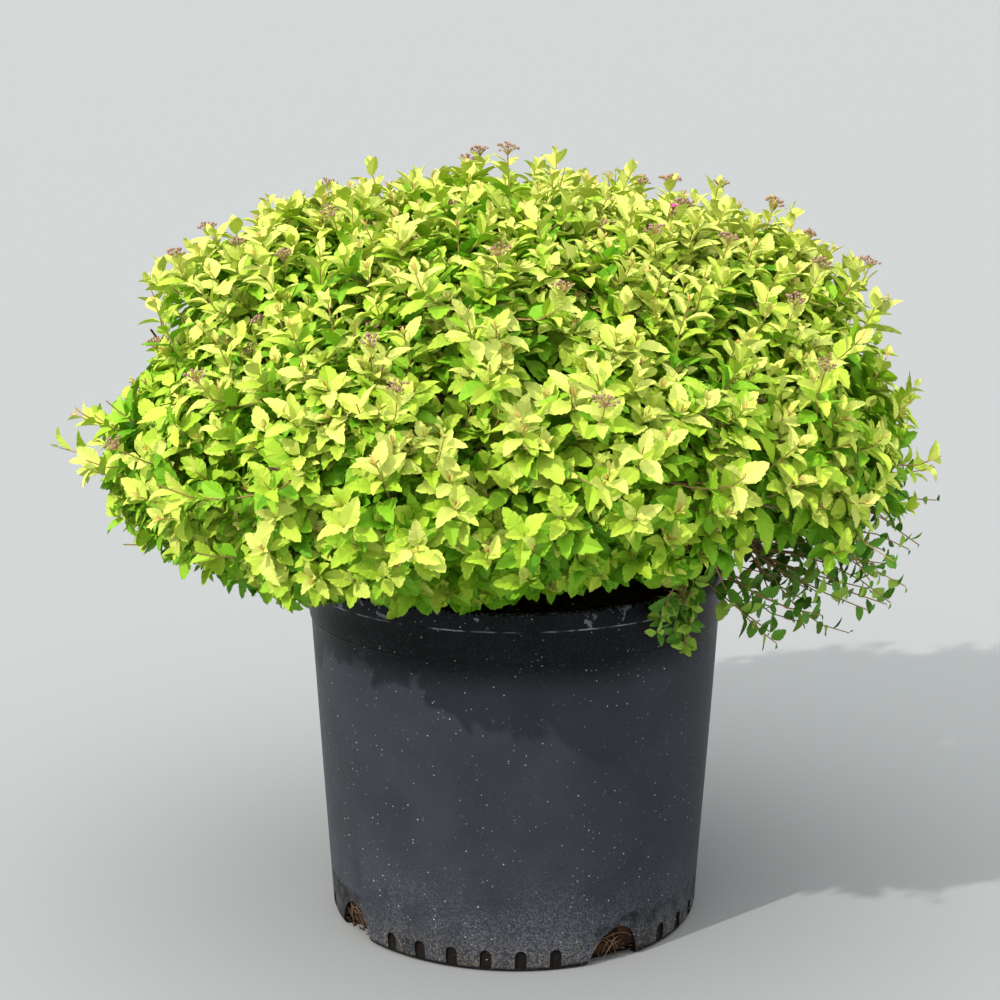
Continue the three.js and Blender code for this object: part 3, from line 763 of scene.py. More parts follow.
# %% Fine roots in the arches
def lines_mesh(name, lines):
    """A start mesh of lines: each is a list of places in mm and a list of radii in mm."""
    places, radii, edges = [], [], []
    for points, sizes in lines:
        edges += [(len(places) + i, len(places) + i + 1) for i in range(len(points) - 1)]
        places += points
        radii += sizes
    mesh = bpy.data.meshes.new(name)
    mesh.from_pydata([place * MM for place in places], edges, [])
    mesh.attributes.new("girth", "FLOAT", "POINT").data.foreach_set("value", [r * MM for r in radii])
    return mesh


def limb_line(start, bend, end, base, tip, steps):
    """A curved line with a radius that falls evenly from its base to its tip."""
    shares = [i / steps for i in range(steps + 1)]
    return [curve_point(start, bend, end, s) for s in shares], [lerp(base, tip, s) for s in shares]


root_dice = Random(9)
root_lines = []
for middle in arch_middles:
    for k in range(7):
        first, last = root_dice.uniform(-10, 4), root_dice.uniform(-4, 10)
        start = mix_side(middle + first, root_dice.uniform(4, 26), 0.6)
        bend = mix_side(middle + (first + last) / 2, root_dice.uniform(2, 30), 2.4)
        end = mix_side(middle + last, root_dice.uniform(3, 24), 1.2)
        root_lines.append(limb_line(start, bend, end, root_dice.uniform(0.25, 0.45), 0.15, 8))
root_skin, nodes, shader = new_material("fine_root_skin")
place = add(nodes, "ShaderNodeTexCoord").outputs["Object"]
stain = add(nodes, "ShaderNodeTexNoise", Vector=place, Scale=per_mm(5))
tan = add(nodes, "ShaderNodeMix", COLOURS, in_0=stain, in_6=linear("#3A2C1E"), in_7=linear("#85694A"))
give(nodes, shader, Base_Color=tan, Roughness=0.8)
roots = run_tree("fine_roots", lines_mesh("roots", root_lines), limb_tree, Sides=5, Relief=0.0004,
                 Grain=per_mm(3), Material=root_skin)
finish_piece(roots, "shoots", "potting_mix")

# %% [markdown]
# ## Boughs
#
# Each bough rises from the stem and arches out to its mass, 8 mm thick at its foot, and the mass's
# own stem runs on from it. The upper boughs start highest on the stem and rise most steeply.

# %% Boughs and the stems of the masses
BOUGH_FOOT = dict(top=(0, 30, 1), upper=(8, 26, 1.3), side=(11, 17, 0.9), skirt=(12, 8, 0.75),
                  spray=(12, 8, 0.75))  # radius, height and rise
wood_lines, heart_lines = [], []
for mass in masses:
    radius, height, rise = BOUGH_FOOT[mass["ring"]]
    entry = mass["entry"]
    out = Vector((entry.x, entry.y, 0))
    span = out.length
    out.normalize()
    foot = out * radius + UP * (SOIL["top"] + SOIL["crown"] + height)
    bend = foot + out * span * 0.35 + UP * rise * max(12, (entry.z - foot.z) * 0.75)
    wood_lines.append(limb_line(foot - (bend - foot) * 0.08, bend, entry, 4.1, 2.9, 14))
    onward = (entry - bend).normalized()
    reach = (mass["heart"] - entry).length
    mass["stem"] = (entry, entry + onward * reach * 0.4, mass["heart"])
    mass["onward"] = (mass["heart"] - mass["stem"][1]).normalized()
    heart_lines.append(limb_line(*mass["stem"], 2.9, 1.9, 8))
boughs = run_tree("boughs", lines_mesh("boughs", wood_lines), limb_tree, Sides=12, Relief=0.0014,
                  Grain=per_mm(6), Material=bark)
finish_piece(boughs, "bark", *["bough_" + mass["name"] for mass in masses])

# %% [markdown]
# ## Twigs
#
# From each mass's stem twigs branch to tips that are spread over the crown like seeds in a
# sunflower. Their random numbers come from the same small generator as those of the solids, so
# that the 96 tips are the same ones.

# %% A seeded generator
def seeded_random(seed):
    """Evenly spread numbers from 0 to 1 that are the same on every run."""
    state = seed

    def draw():
        nonlocal state
        state = (state + 0x6D2B79F5) & 0xFFFFFFFF
        mixed = (state ^ (state >> 15)) * (state | 1) & 0xFFFFFFFF
        mixed ^= (mixed + (mixed ^ (mixed >> 7)) * (mixed | 61)) & 0xFFFFFFFF
        return (mixed ^ (mixed >> 14)) / 4294967296

    return draw


print("first numbers of seed 7:", [round(number(), 3) for number in [seeded_random(7)] * 3])

# %% [markdown]
# Each tip lies a golden angle further round than the last and a little lower. A twig runs to it
# from the stem of the nearest mass. Tips that would lie in the container are left out, and the
# sprays' twigs are thin.

# %% Tips and twigs
TIP = dict(count=96, nearest=0.84, furthest=0.96, lowest_sine=-0.86, scatter=0.2)


def crown_tips(count, nearest, furthest, random):
    """Tips over the whole crown, evenly apart, some further out than others."""
    tips = []
    for k in range(count):
        sine = lerp(1, TIP["lowest_sine"], (k + 0.5) / count)
        azimuth = k * GOLDEN_ANGLE + TIP["scatter"] * (random() - 0.5)
        tips.append((crown_point(azimuth, math.asin(sine), lerp(nearest, furthest, random())), sine, azimuth))
    return tips


def mass_of(place):
    return min(masses, key=lambda mass: (place - mass["focus"]).length_squared)


def in_pot(place, margin=3):
    return math.hypot(place.x, place.y) < POT["lip_radius"] + margin and place.z < POT["height"] + 4


foot_random = seeded_random(100)
for mass in masses:
    mass["twigs"] = []
twig_lines = []
for place, sine, azimuth in crown_tips(TIP["count"], TIP["nearest"], TIP["furthest"], seeded_random(7)):
    if in_pot(place):
        continue
    mass = mass_of(place)
    foot = curve_point(*mass["stem"], lerp(0.3, 0.95, foot_random()))
    bend = (foot + place) / 2 + mass["onward"] * 12
    mass["twigs"].append((foot, bend, place))
    thin = 0.45 if mass["ring"] == "spray" else 1
    twig_lines.append(limb_line(foot, bend, lerp(place, foot, 0.08), 1.5 * thin, 0.8 * thin, 6))
twigs = run_tree("twigs", lines_mesh("twigs", heart_lines + twig_lines), limb_tree, Sides=7,
                 Relief=0.0006, Grain=per_mm(5), Material=bark)
finish_piece(twigs, "bark", *["foliage_" + mass["name"] for mass in masses])
print(len(twig_lines), "twigs")

# %% [markdown]
# ## Young shoots
#
# This year's shoots carry the leaves, about twenty to a twig. The crown that they fill isn't quite
# the ellipsoid: it has a waist a little above its widest level and broad shoulders. So a function
# gives how much further than its ellipsoid it reaches, from the azimuth, which is 0 to the right
# and -90 degrees at the front, and the rise, which is 0 at the widest level and 1 at the top.

# %% Shape of the upper crown
def clamp(value):
    return min(1, max(0, value))


def azimuth_of(way):
    return math.atan2(way.y, way.x)


def growing_way(place):
    """The way a shoot's tip points at a place: square to the crown's surface, and up."""
    wide, deep, below = crown_reach(azimuth_of(place))
    way = place - CROWN["centre"]
    out = Vector((way.x / wide**2, way.y / deep**2, max(0, way.z) / CROWN["above"] ** 2)).normalized()
    return (out + UP * (0.5 + 0.6 * max(0, way.z) / CROWN["above"])).normalized()


def fullness(azimuth, rise):
    """How much further than its ellipsoid the upper crown reaches: a waist and broad shoulders."""
    side = math.cos(azimuth)
    waist = (0.085 - 0.035 * side) * math.sin(math.pi * clamp(rise / 0.65))
    shoulder = 0.07 * math.sin(math.pi * min(1, max(0, rise - 0.5) / 0.45))
    return side**2 * (shoulder - waist) + 0.06 * max(0, -side) ** 4 * max(0, 1 - 8 * abs(rise))


print("the right shoulder reaches", round(100 * fullness(0, 0.75)), "% further")

# %% [markdown]
# Two more measures keep the shoots to the shrub's own outline. One says how far out and how low
# foliage may be, with a ragged edge from noise. The other says what share of the shoots is left out
# where the shrub is open.

# %% Room for the shoots
ROOM = dict(upper=0.99, lower=0.93, spray=1.09, spray_above=195, leader=0.08, ragged=0.06, ragged_size=28,
            lowest=233, front=36, right=38, jag=40, jag_size=19)  # shares of the reach, and mm


def has_room(place, kind, slack=0):
    """Whether foliage here keeps to the crown's outline and clears the lip. Slack lets it hang lower."""
    share, way = crown_share(place), place - CROWN["centre"]
    if kind in ("spray", "trail"):
        return share < ROOM["spray"] and place.z > ROOM["spray_above"]
    azimuth, rise = azimuth_of(way), way.z / CROWN["above"]
    ragged = noise.noise(place / ROOM["ragged_size"])
    if rise > 0:
        low_right = max(0, math.cos(azimuth)) * max(0, 1 - 3 * rise)
        leader = ROOM["leader"] - 0.06 * low_right if kind == "leader" else 0
        return share < ROOM["upper"] + leader + ROOM["ragged"] * ragged + fullness(azimuth, rise)
    front, right = max(0, -math.sin(azimuth - 0.15)) ** 3, max(0, math.cos(azimuth + 0.1)) ** 3
    hanging = max(0, math.cos(azimuth + 2.1)) ** 8
    lowest = ROOM["lowest"] + ROOM["front"] * front + ROOM["right"] * right
    lowest = lowest + ROOM["jag"] * noise.noise(place / ROOM["jag_size"]) - slack
    if kind == "leader":
        return share < ROOM["upper"] + 0.05 * ragged and place.z > lowest
    furthest = ROOM["lower"] - 0.02 * front + 0.05 * right + 0.1 * hanging + slack / 400
    return share < furthest and place.z > lowest


def openness(place):
    """The share of shoots that is left out at a place: some all round below, most at the right."""
    band = 35  # mm above and below the crown's widest level
    low = clamp((CROWN["centre"].z + band - place.z) / (2 * band))
    lowest = clamp((CROWN["centre"].z - band - place.z) / 40)
    right = clamp(1.7 * math.cos(azimuth_of(place) + 0.1) - 0.35)
    return min(0.93, low * (0.3 + 0.6 * right) + 0.25 * lowest)


front_foot = CROWN["centre"] - Vector((0, 200, 60))
print("low at the front", round(openness(front_foot), 2), "of the shoots are left out")

# %% [markdown]
# The shoots' tips follow the same golden spiral as the twigs' tips. Those round a twig's end reach
# furthest, so the crown is a crowd of tufts and not a clipped dome, and noise makes some tufts
# longer. Each shoot leaves the nearest twig of its mass and turns at its end out of the crown and up
# to the light.

# %% Young shoots
SHOOTS = dict(count=2450, nearest=0.82, furthest=0.985, tuft=0.11, tuft_size=62, lumps=0.11, lump_size=50,
              base=0.7, tip=0.4, steps=4)
shoot_random = seeded_random(11)
shoots = []


def grow_shoot(kind, place):
    """Add a shoot from the nearest twig of its mass to a tip, unless there is no room for it."""
    jitter = Vector([shoot_random() - 0.5 for axis in range(3)])
    along, luck = shoot_random(), shoot_random()
    mass = mass_of(place)
    if not mass["twigs"] or (kind not in ("spray", "trail") and mass["ring"] == "spray"):
        return
    twig = min(mass["twigs"], key=lambda twig: (twig[2] - place).length_squared)
    if kind == "crown":
        apart = min(1, (twig[2] - place).length / SHOOTS["tuft_size"])
        drawn_in = SHOOTS["tuft"] * apart**2 - SHOOTS["lumps"] * noise.noise(place / SHOOTS["lump_size"])
        rise = (place.z - CROWN["centre"].z) / CROWN["above"]
        drawn_in -= max(0, fullness(azimuth_of(place), rise))
        place = lerp(place, CROWN["centre"], drawn_in)
    if in_pot(place, 6) or not has_room(place, kind) or (kind == "crown" and luck < openness(place)):
        return
    foot = curve_point(*twig, lerp(0.1, 0.5, along) if kind == "spray" else lerp(0.25, 0.8, along))
    axis = growing_way(place) + jitter * (0.35 if kind == "leader" else 0.6)
    if kind == "spray":
        axis -= UP * 0.7
    bend = place - axis.normalized() * (place - foot).length * 0.5
    if kind == "trail":
        bend = Vector((place.x * 1.09, place.y * 1.09, POT["height"] + 26))
    shoots.append(dict(kind=kind, line=(foot, bend, place), azimuth=azimuth_of(place),
                       sine=(place.z - CROWN["centre"].z) / CROWN["above"], luck=luck))


reach = SHOOTS["nearest"], SHOOTS["furthest"]
for place, sine, azimuth in crown_tips(SHOOTS["count"], *reach, seeded_random(21)):
    grow_shoot("crown", place)
print(len(shoots), "shoots")

# %% [markdown]
# Three kinds of shoot break the outline. Leaders stand a few centimetres out of the upper crown and,
# at both sides, out of its middle. At the lower right a fan of long thin shoots is almost bare, and
# beside it a few short ones hang over the lip of the container.

# %% Leaders, sprays and trailing shoots
LEADERS, SPRAYS, TRAILS = 340, 56, 8  # the most of each
for place, sine, azimuth in crown_tips(LEADERS, 0.95, 1.05, seeded_random(22)):
    if sine > (0 if abs(math.cos(azimuth)) < 0.6 else -0.35):
        grow_shoot("leader", place)
for k in range(SPRAYS):
    azimuth, elevation = lerp(-42, 30, shoot_random()), lerp(-10, -44, shoot_random())
    share = lerp(0.86, 1.07, shoot_random())
    grow_shoot("spray", crown_point(math.radians(azimuth), math.radians(elevation), share))
for k in range(TRAILS):
    azimuth, radius = math.radians(-52 - 11 * (shoot_random() - 0.5)), lerp(151, 164, shoot_random())
    height = lerp(214, 246, k / (TRAILS - 1))
    grow_shoot("trail", Vector((radius * math.cos(azimuth), radius * math.sin(azimuth), height)))
kinds = [shoot["kind"] for shoot in shoots]
print({kind: kinds.count(kind) for kind in ("crown", "leader", "spray", "trail")})

# %% [markdown]
# ## Leaf shapes
#
# A spirea leaf is an ovate blade folded a little along its midrib, with sharp teeth and sunken side
# veins that end in the teeth, so the blade is quilted. It is a thin mesh of 27 faces between the
# midrib and the teeth, since it is repeated thousands of times: the teeth are low, as the veins
# are, and the notches between them are raised. Real leaves have about twice as many teeth.

# %% Outline of a leaf
def half_width(share, width, widest=0.36):
    """Half of the blade's width at a share of its length."""
    if share < widest:
        return width * (share / widest) ** 0.6
    return width * (1 - ((share - widest) / (1 - widest)) ** 1.8) ** 0.95


print("half of a blade is at most", half_width(0.36, 0.26), "of its length")

# %% [markdown]
# The mesh has a midrib, and on each side an edge of teeth and notches. A walk along the edge joins
# each of its points to the next one and to the nearest point of the midrib.

# %% Leaf blade
def leaf_shape(name, fold, arch, twist, width=0.26, teeth=5, tooth=0.028, ribs=4, curl=0.0):
    """A leaf of length 1 along Y, facing +Z, its stalk's foot at the origin."""
    stalk = 0.07
    corners = [Vector((-0.012, 0, 0)), Vector((0.012, 0, 0))]

    def at(side, share, aside, lift=0.0):
        high = fold * aside + lift - arch * share**2 - curl * max(0, share - 0.65) ** 2
        turn = twist * (share - 0.3)
        across = side * aside
        corners.append(Vector((across * math.cos(turn) - high * math.sin(turn), stalk + share * (1 - stalk),
                               across * math.sin(turn) + high * math.cos(turn))))
        return len(corners) - 1

    rib_shares = [i / (ribs - 1) for i in range(ribs)]
    rib = [at(1, share, 0) for share in rib_shares]
    faces = [[0, 1, rib[0]]]
    for side in (1, -1):
        edge = [(0.0, rib[0]), (0.06, at(side, 0.06, half_width(0.06, width)))]
        for i in range(teeth):
            point = lerp(0.17, 0.89, i / (teeth - 1))
            fine = tooth * (1 - 0.4 * point)
            edge.append((point, at(side, point, half_width(point - 0.03, width) + fine, -0.009)))
            notch = point + 0.03
            edge.append((notch, at(side, notch, half_width(notch, width) - 0.004, 0.012)))
        edge.append((1.0, rib[-1]))
        low = 0
        for (share, corner), (_, following) in zip(edge, edge[1:]):
            while low < ribs - 1 and share - 0.04 > (rib_shares[low] + rib_shares[low + 1]) / 2:
                faces.append([rib[low], corner, rib[low + 1]][::side])
                low += 1
            if len({rib[low], corner, following}) == 3:
                faces.append([rib[low], corner, following][::side])
        for k in range(low, ribs - 2):
            faces.append([rib[k], edge[-2][1], rib[k + 1]][::side])
    piece = new_piece(name, [corner / MM for corner in corners], faces)
    piece.data.shade_flat()
    return piece


plain_leaf = leaf_shape("leaf_a", fold=0.35, arch=0.12, twist=0.2)
print("a leaf has", len(plain_leaf.data.polygons), "faces")

# %% [markdown]
# Shapes that are more or less folded, arched and twisted keep the leaves from looking stamped. The
# sprays have rounder leaves, and the unfolding ones at the tips are narrow and still almost shut.

# %% Leaf shapes
leaf_shapes = shape_set("leaf_shapes", [
    plain_leaf,
    leaf_shape("leaf_b", fold=0.60, arch=0.22, twist=-0.3, width=0.25),
    leaf_shape("leaf_c", fold=0.22, arch=0.04, twist=0.35, width=0.30),
    leaf_shape("leaf_d", fold=0.48, arch=-0.05, twist=-0.15, width=0.27, curl=1.4),
    leaf_shape("leaf_e", fold=0.30, arch=0.16, twist=-0.45, width=0.28, curl=0.6),
    leaf_shape("leaf_f", fold=0.55, arch=0.10, twist=0.25, width=0.22)])
round_shapes = shape_set("round_leaf_shapes", [
    leaf_shape("round_leaf_a", fold=0.25, arch=0.08, twist=0.1, width=0.34, teeth=4, tooth=0.02),
    leaf_shape("round_leaf_b", fold=0.4, arch=0.15, twist=-0.2, width=0.31, teeth=4, tooth=0.02)])
young_shapes = shape_set("young_leaf_shapes", [
    leaf_shape("young_leaf_a", fold=0.9, arch=-0.15, twist=0.2, width=0.17, teeth=2, ribs=3),
    leaf_shape("young_leaf_b", fold=0.6, arch=0.2, twist=-0.3, width=0.19, teeth=2, ribs=3)])

# %% [markdown]
# ## Where the leaves sit
#
# Leaves follow each other round a shoot by the golden angle. The lowest are the largest and stand
# out almost square, and those at the tip are short and upright, so the tip is a star of leaves. A
# leaf turns its face to the light. Its tint follows its age and place: the youngest leaves are pale
# gold, those inside the crown deep green, and the open shoots low on the right are greener. On top
# of that the tints are painted light and shade: leaves high in the crown and at the upper right are
# painted paler, and those deep inside and low down are painted greener.

# %% Room and tint of a leaf
LEAF_SLACK = 14  # mm that a leaf may hang below the shoots
TINTS_A_STEP = 6.0  # tints for each step of age
TINTS = ["pale_gold", "gold", "yellow_lime", "lime", "fresh_green", "mid_green", "deep_green", "shade_green"]
leaf_random = seeded_random(31)
room_low = [value / MM - 5 for value in cad_box[0]]
room_high = [value / MM + 5 for value in cad_box[1]]
leaves = {tint: [] for tint in TINTS + ["blush", "small_green", "small_lime"]}


def grow_leaf(tint, kind, root, tangent, around, opening, length, shape_count=6):
    """One leaf on a kind of shoot, unless it would reach into the pot or out of the crown's room."""
    aside = UP.cross(tangent)
    aside = aside.normalized() if aside.length > 0.05 else Vector((1, 0, 0))
    across = tangent.cross(aside)
    way = tangent * math.cos(opening)
    way += (aside * math.cos(around) + across * math.sin(around)) * math.sin(opening)
    upward, shaken = (0.3, 0.8) if kind in ("crown", "leader") else (-0.5, 1.6)
    light = growing_way(root) + tangent * 0.5 + UP * upward
    light += Vector([leaf_random() - 0.5 for axis in range(3)]) * shaken
    end = root + way * length
    shape = int(leaf_random() * shape_count)
    if in_pot(end) or in_pot(lerp(root, end, 0.5)) or not has_room(end, kind, LEAF_SLACK):
        return
    if all(low < value < high for low, value, high in zip(room_low, end, room_high)):
        leaves[tint].append((root, way, light - way * light.dot(way), length, shape))


def tint_of(along, share, shoot_luck):
    """The tint of a leaf: older near a shoot's foot, and greener deep in the crown by age and painted shade.
    """
    # deeper in the crown is older, and also painted shade
    age = 1.8 * (1 - along) - 0.1 + 2.8 * max(0, 0.95 - share) + 0.36 * (shoot_luck - 0.45)
    age += 0.22 * (leaf_random() - 0.5)
    return TINTS[max(0, min(len(TINTS) - 1, int(age * TINTS_A_STEP)))]


print("leaves keep between", tuple(map(round, room_low)), "and", tuple(map(round, room_high)), "mm")

# %% [markdown]
# A plan gives each kind of shoot the number of its leaves, how far along the first one sits and how
# large they are.

# %% Leaf plan
LEAF_PLAN = dict(crown=(14, 0.3, 0.78), leader=(12, 0.35, 0.76), spray=(9, 0.3, 0.62), trail=(20, 0.5, 0.4))
TRAIL_STEPS = (0.55, 0.7, 0.85, 1.0)  # a trailing shoot's leaves sit in four bunches of five
FIRST_LEAF, LATE_LEAF, LAST_LEAF = 29, 25, 12  # lengths in mm along a shoot, before its own size
ANY_TURN = 6.28  # the most that a shoot's first leaf is turned round it


def direction(line, along):
    """The way a shoot runs at a share of its length."""
    start, bend, end = line
    return (lerp(bend, end, along) - lerp(start, bend, along)).normalized()


print(LEAF_PLAN["crown"][0], "leaves on a shoot of the crown,", LEAF_PLAN["spray"][0], "on one of a spray")

# %% [markdown]
# Leaves are larger low on the crown, smaller where it is open, and smaller and more upright towards
# a shoot's tip. Noise makes whole patches of the crown more golden or greener.

# %% Leaves of the shoots
def leaf_out(shoot):
    """Lay out the leaves of one shoot."""
    kind, line, sine = shoot["kind"], shoot["line"], shoot["sine"]
    end = line[2]
    count, first, size = LEAF_PLAN[kind]
    # the sine and azimuth terms are painted light and shade: paler high up and at the upper right, greener
    # low down
    luck = shoot["luck"] + 1.5 * max(0, openness(end) - 0.3) - 0.8 * sine + 0.9 * noise.noise(end / 45)
    luck -= 0.25 * max(0, math.cos(shoot["azimuth"])) * max(0, sine)
    size *= lerp(1.02, 0.82, clamp((sine + 0.4) / 1.2)) * (1 - 0.25 * openness(end))
    spread = lerp(0.72, 1.1, leaf_random()) * (0.8 if kind == "leader" else 1)
    turn = leaf_random() * ANY_TURN
    for k in range(count):
        along = lerp(first, 1.0, (k / (count - 1)) ** 0.85) if kind != "trail" else TRAIL_STEPS[k // 5]
        root, tangent = curve_point(*line, along), direction(line, along)
        around = turn + k * GOLDEN_ANGLE + 0.5 * (leaf_random() - 0.5)
        opening = lerp(1.45, 1.15, along)  # radians from the shoot's own way: almost square
        if along >= 0.85:
            opening = lerp(1.2, 0.5, (along - 0.85) / 0.15)  # upright at the tip
        opening = opening * spread + 0.4 * (leaf_random() - 0.5)
        length = lerp(FIRST_LEAF, LATE_LEAF, max(0, along - 0.3) / 0.7)
        if along >= 0.9:
            length = lerp(LATE_LEAF, LAST_LEAF, (along - 0.9) / 0.1)
        length *= size * lerp(0.72, 1.22, leaf_random())
        if kind == "trail":
            tint = "small_lime" if leaf_random() < 0.7 else "small_green"
            grow_leaf(tint, kind, root, tangent, around, 1.2, 11 * lerp(0.7, 1.1, leaf_random()), 2)
        elif kind == "spray":
            tint = "small_lime" if leaf_random() < 0.2 else "small_green"
            grow_leaf(tint, kind, root, tangent, around, 1.1, length, 2)
        else:
            grow_leaf(tint_of(along, crown_share(root), luck), kind, root, tangent, around, opening, length)


for shoot in shoots:
    leaf_out(shoot)
print({kind: len(found) for kind, found in leaves.items()})

# %% [markdown]
# Between the tufts some gaps are left through which the bare limbs show. A living shrub fills them,
# because shoots grow where the light gets in. Rays that are cast inwards find them: one that meets
# no leaf is in a gap, and one more shoot grows there. For this test each leaf is a plain diamond.
# Two rounds are enough.

# %% Shoots in the gaps
from mathutils.bvhtree import BVHTree

GAP = dict(rays=6000, nearest=0.8, furthest=0.92, apart=19, most_open=0.3)


def leaf_screen():
    """All leaves laid out so far, as diamonds that a ray can be cast at."""
    corners, diamonds = [], []
    for root, way, face, length, _ in [leaf for found in leaves.values() for leaf in found]:
        middle, aside = root + way * length / 2, way.cross(face).normalized() * length * 0.2
        diamonds.append(range(len(corners), len(corners) + 4))
        corners += [root, middle - aside, root + way * length, middle + aside]
    return BVHTree.FromPolygons(corners, diamonds)


def fill_gaps(random):
    """Grow a shoot at each place where a ray from outside meets no leaf, if none was added near."""
    screen, before, gaps = leaf_screen(), len(shoots), []
    for place, sine, azimuth in crown_tips(GAP["rays"], GAP["nearest"], GAP["furthest"], random):
        inwards = CROWN["centre"] - place
        met = screen.ray_cast(place - inwards / 2, inwards.normalized(), inwards.length)[0]
        if met or openness(place) >= GAP["most_open"]:
            continue
        if all((place - gap).length > GAP["apart"] for gap in gaps):
            gaps.append(place)
            grow_shoot("crown", place)
    for shoot in shoots[before:]:
        leaf_out(shoot)
    print(len(shoots) - before, "shoots fill gaps")


fill_gaps(seeded_random(23))
fill_gaps(seeded_random(24))

# %% [markdown]
# Older leaves sit on the twigs inside, large and greener, but high in the crown they are painted
# paler, as painted light. They close the crown, so that the gaps between the shoots are dark and not
# empty.

# %% Inner leaves
INNER_LEAVES = 19  # on a twig, fewer where the shrub is open
for mass in masses:
    for line in mass["twigs"]:
        end, turn = line[2], leaf_random() * ANY_TURN
        if mass["ring"] == "spray":
            continue
        count = round(INNER_LEAVES * (1 - openness(end)))
        # higher twigs take paler tints: painted light in the top of the crown
        high = round(4 * clamp((end.z - CROWN["centre"].z) / 110))
        for k in range(count):
            along = lerp(0.25, 0.8, k / count)
            tint = TINTS[4 - high + int(leaf_random() * 3)]
            length = lerp(24, 32, leaf_random())
            opening = 1.2 + 0.4 * (leaf_random() - 0.5)
            grow_leaf(tint, "crown", curve_point(*line, along), direction(line, along),
                      turn + k * GOLDEN_ANGLE, opening, length)
print("leaves so far:", sum(map(len, leaves.values())))

# %% [markdown]
# At the tips of more than half of the shoots three small leaves are just unfolding. They are blushed
# orange-pink, and show as warm points all over the crown.

# %% Unfolding leaves
for shoot in shoots:
    if shoot["kind"] in ("spray", "trail") or shoot["luck"] > 0.6:
        continue
    (start, bend, end), turn = shoot["line"], leaf_random() * ANY_TURN
    for k in range(3):
        grow_leaf("blush", shoot["kind"], end, (end - bend).normalized(), turn + k * GOLDEN_ANGLE,
                  0.3 + 0.15 * k, 5 + 2 * leaf_random(), 2)
print(len(leaves["blush"]), "unfolding leaves,", sum(map(len, leaves.values())), "leaves in all")

# %% [markdown]
# ## The finish of the leaves
#
# A leaf is a thin waxy sheet full of water: satin, with an IOR near 1.42, and fine down takes the
# shine off the wax. On thousands of leaves a pattern can't be seen and doesn't survive export, so
# each tint is a plain base colour and the veins are in the shapes. One tree puts the shapes on
# points that carry each leaf's way, face and length.

# %% Leaf tree
tree, inputs = new_tree("shapes_on_points", Shapes="Collection", Size="Float", Material="Material")
POINT_VALUES = dict(way="FLOAT_VECTOR", face="FLOAT_VECTOR", length="FLOAT", shape="INT")
way, face, length, shape = [
    add(tree, "GeometryNodeInputNamedAttribute", {"data_type": kind}, Name=name)
    for name, kind in POINT_VALUES.items()]
turned_to = add(tree, "FunctionNodeAxesToRotation", {"primary_axis": "Y", "secondary_axis": "Z"},
                Primary_Axis=way, Secondary_Axis=face)
sized = add(tree, "ShaderNodeMath", PRODUCT, in_0=length, in_1=inputs["Size"])
shapes = add(tree, "GeometryNodeCollectionInfo", Collection=inputs["Shapes"], **SEPARATE)
placed = add(tree, "GeometryNodeInstanceOnPoints", Points=inputs["Geometry"], Instance=shapes,
             Pick_Instance=True, Instance_Index=shape, Rotation=turned_to, Scale=sized)
end_tree(tree, placed, inputs["Material"])
point_tree = tree
print("leaf tree has", len(tree.nodes), "nodes")

# %% [markdown]
# Eight tints run from pale gold to deep green, and three more are for the unfolding leaves and the
# sprays. Each takes the shapes that suit it, and becomes one piece. Leaves let light through in
# life, so the shaded ones get a brighter green than their own surface has.

# %% Leaf finishes and pieces
LEAF_FINISH = dict(
    pale_gold=("leaf_gold", "#D0DA6C"), gold=("leaf_gold", "#CADA5C"), yellow_lime=("leaf_lime", "#BCD446"),
    lime=("leaf_lime", "#AACC34"), fresh_green=("leaf_green", "#98C62C"), mid_green=("leaf_green", "#86BC22"),
    deep_green=("leaf_deep", "#78B21C"), shade_green=("leaf_deep", "#6AA818"),
    blush=("leaf_blush", "#DDBE74"), small_green=("leaf_green", "#5C9226"),
    small_lime=("leaf_lime", "#9CC244"))


def points_mesh(name, items):
    """A start mesh of loose points: each has a place, a way, a face, a length in mm and a shape."""
    mesh = bpy.data.meshes.new(name)
    places, ways, faces, lengths, shapes = zip(*items)
    mesh.from_pydata([place * MM for place in places], [], [])
    columns = dict(way=[value for way in ways for value in way],
                   face=[value for face in faces for value in face],
                   length=[length * MM for length in lengths], shape=shapes)
    for attribute, kind in POINT_VALUES.items():
        column = mesh.attributes.new(attribute, kind, "POINT").data
        column.foreach_set("vector" if kind == "FLOAT_VECTOR" else "value", columns[attribute])
    return mesh


def plain_finish(name, colour, **finish):
    """A finish without a pattern: one colour, and constants on the shader's own inputs."""
    material, nodes, shader = new_material(name)
    give(nodes, shader, Base_Color=linear(colour), **finish)
    return material


foliage_nodes = ["foliage_" + mass["name"] for mass in masses]
for kind, (slot, colour) in LEAF_FINISH.items():
    shapes = {"small": round_shapes, "blush": young_shapes}.get(kind.split("_")[0], leaf_shapes)
    blade = plain_finish("leaf_" + kind, colour, Roughness=0.6, IOR=1.42, Specular_IOR_Level=0.4)
    piece = run_tree("leaves_" + kind, points_mesh(kind, leaves[kind]), point_tree, Shapes=shapes, Size=1.0,
                     Material=blade)
    finish_piece(piece, slot, *foliage_nodes)

# %% [markdown]
# The shoots themselves are 1.4 mm thick at the foot and 0.8 mm at the tip. Their young skin is
# satin and tan. Four sides are enough at this size, and one colour is all that shows.

# %% Shoot stalks
stalk_lines = [limb_line(*shoot["line"], SHOOTS["base"], SHOOTS["tip"], SHOOTS["steps"]) for shoot in shoots]
stalks = run_tree("shoots", lines_mesh("shoots", stalk_lines), limb_tree, Sides=4, Relief=0.0, Grain=1.0,
                  Material=plain_finish("young_shoot_skin", "#A88650", Roughness=0.6))
finish_piece(stalks, "shoots", *foliage_nodes)

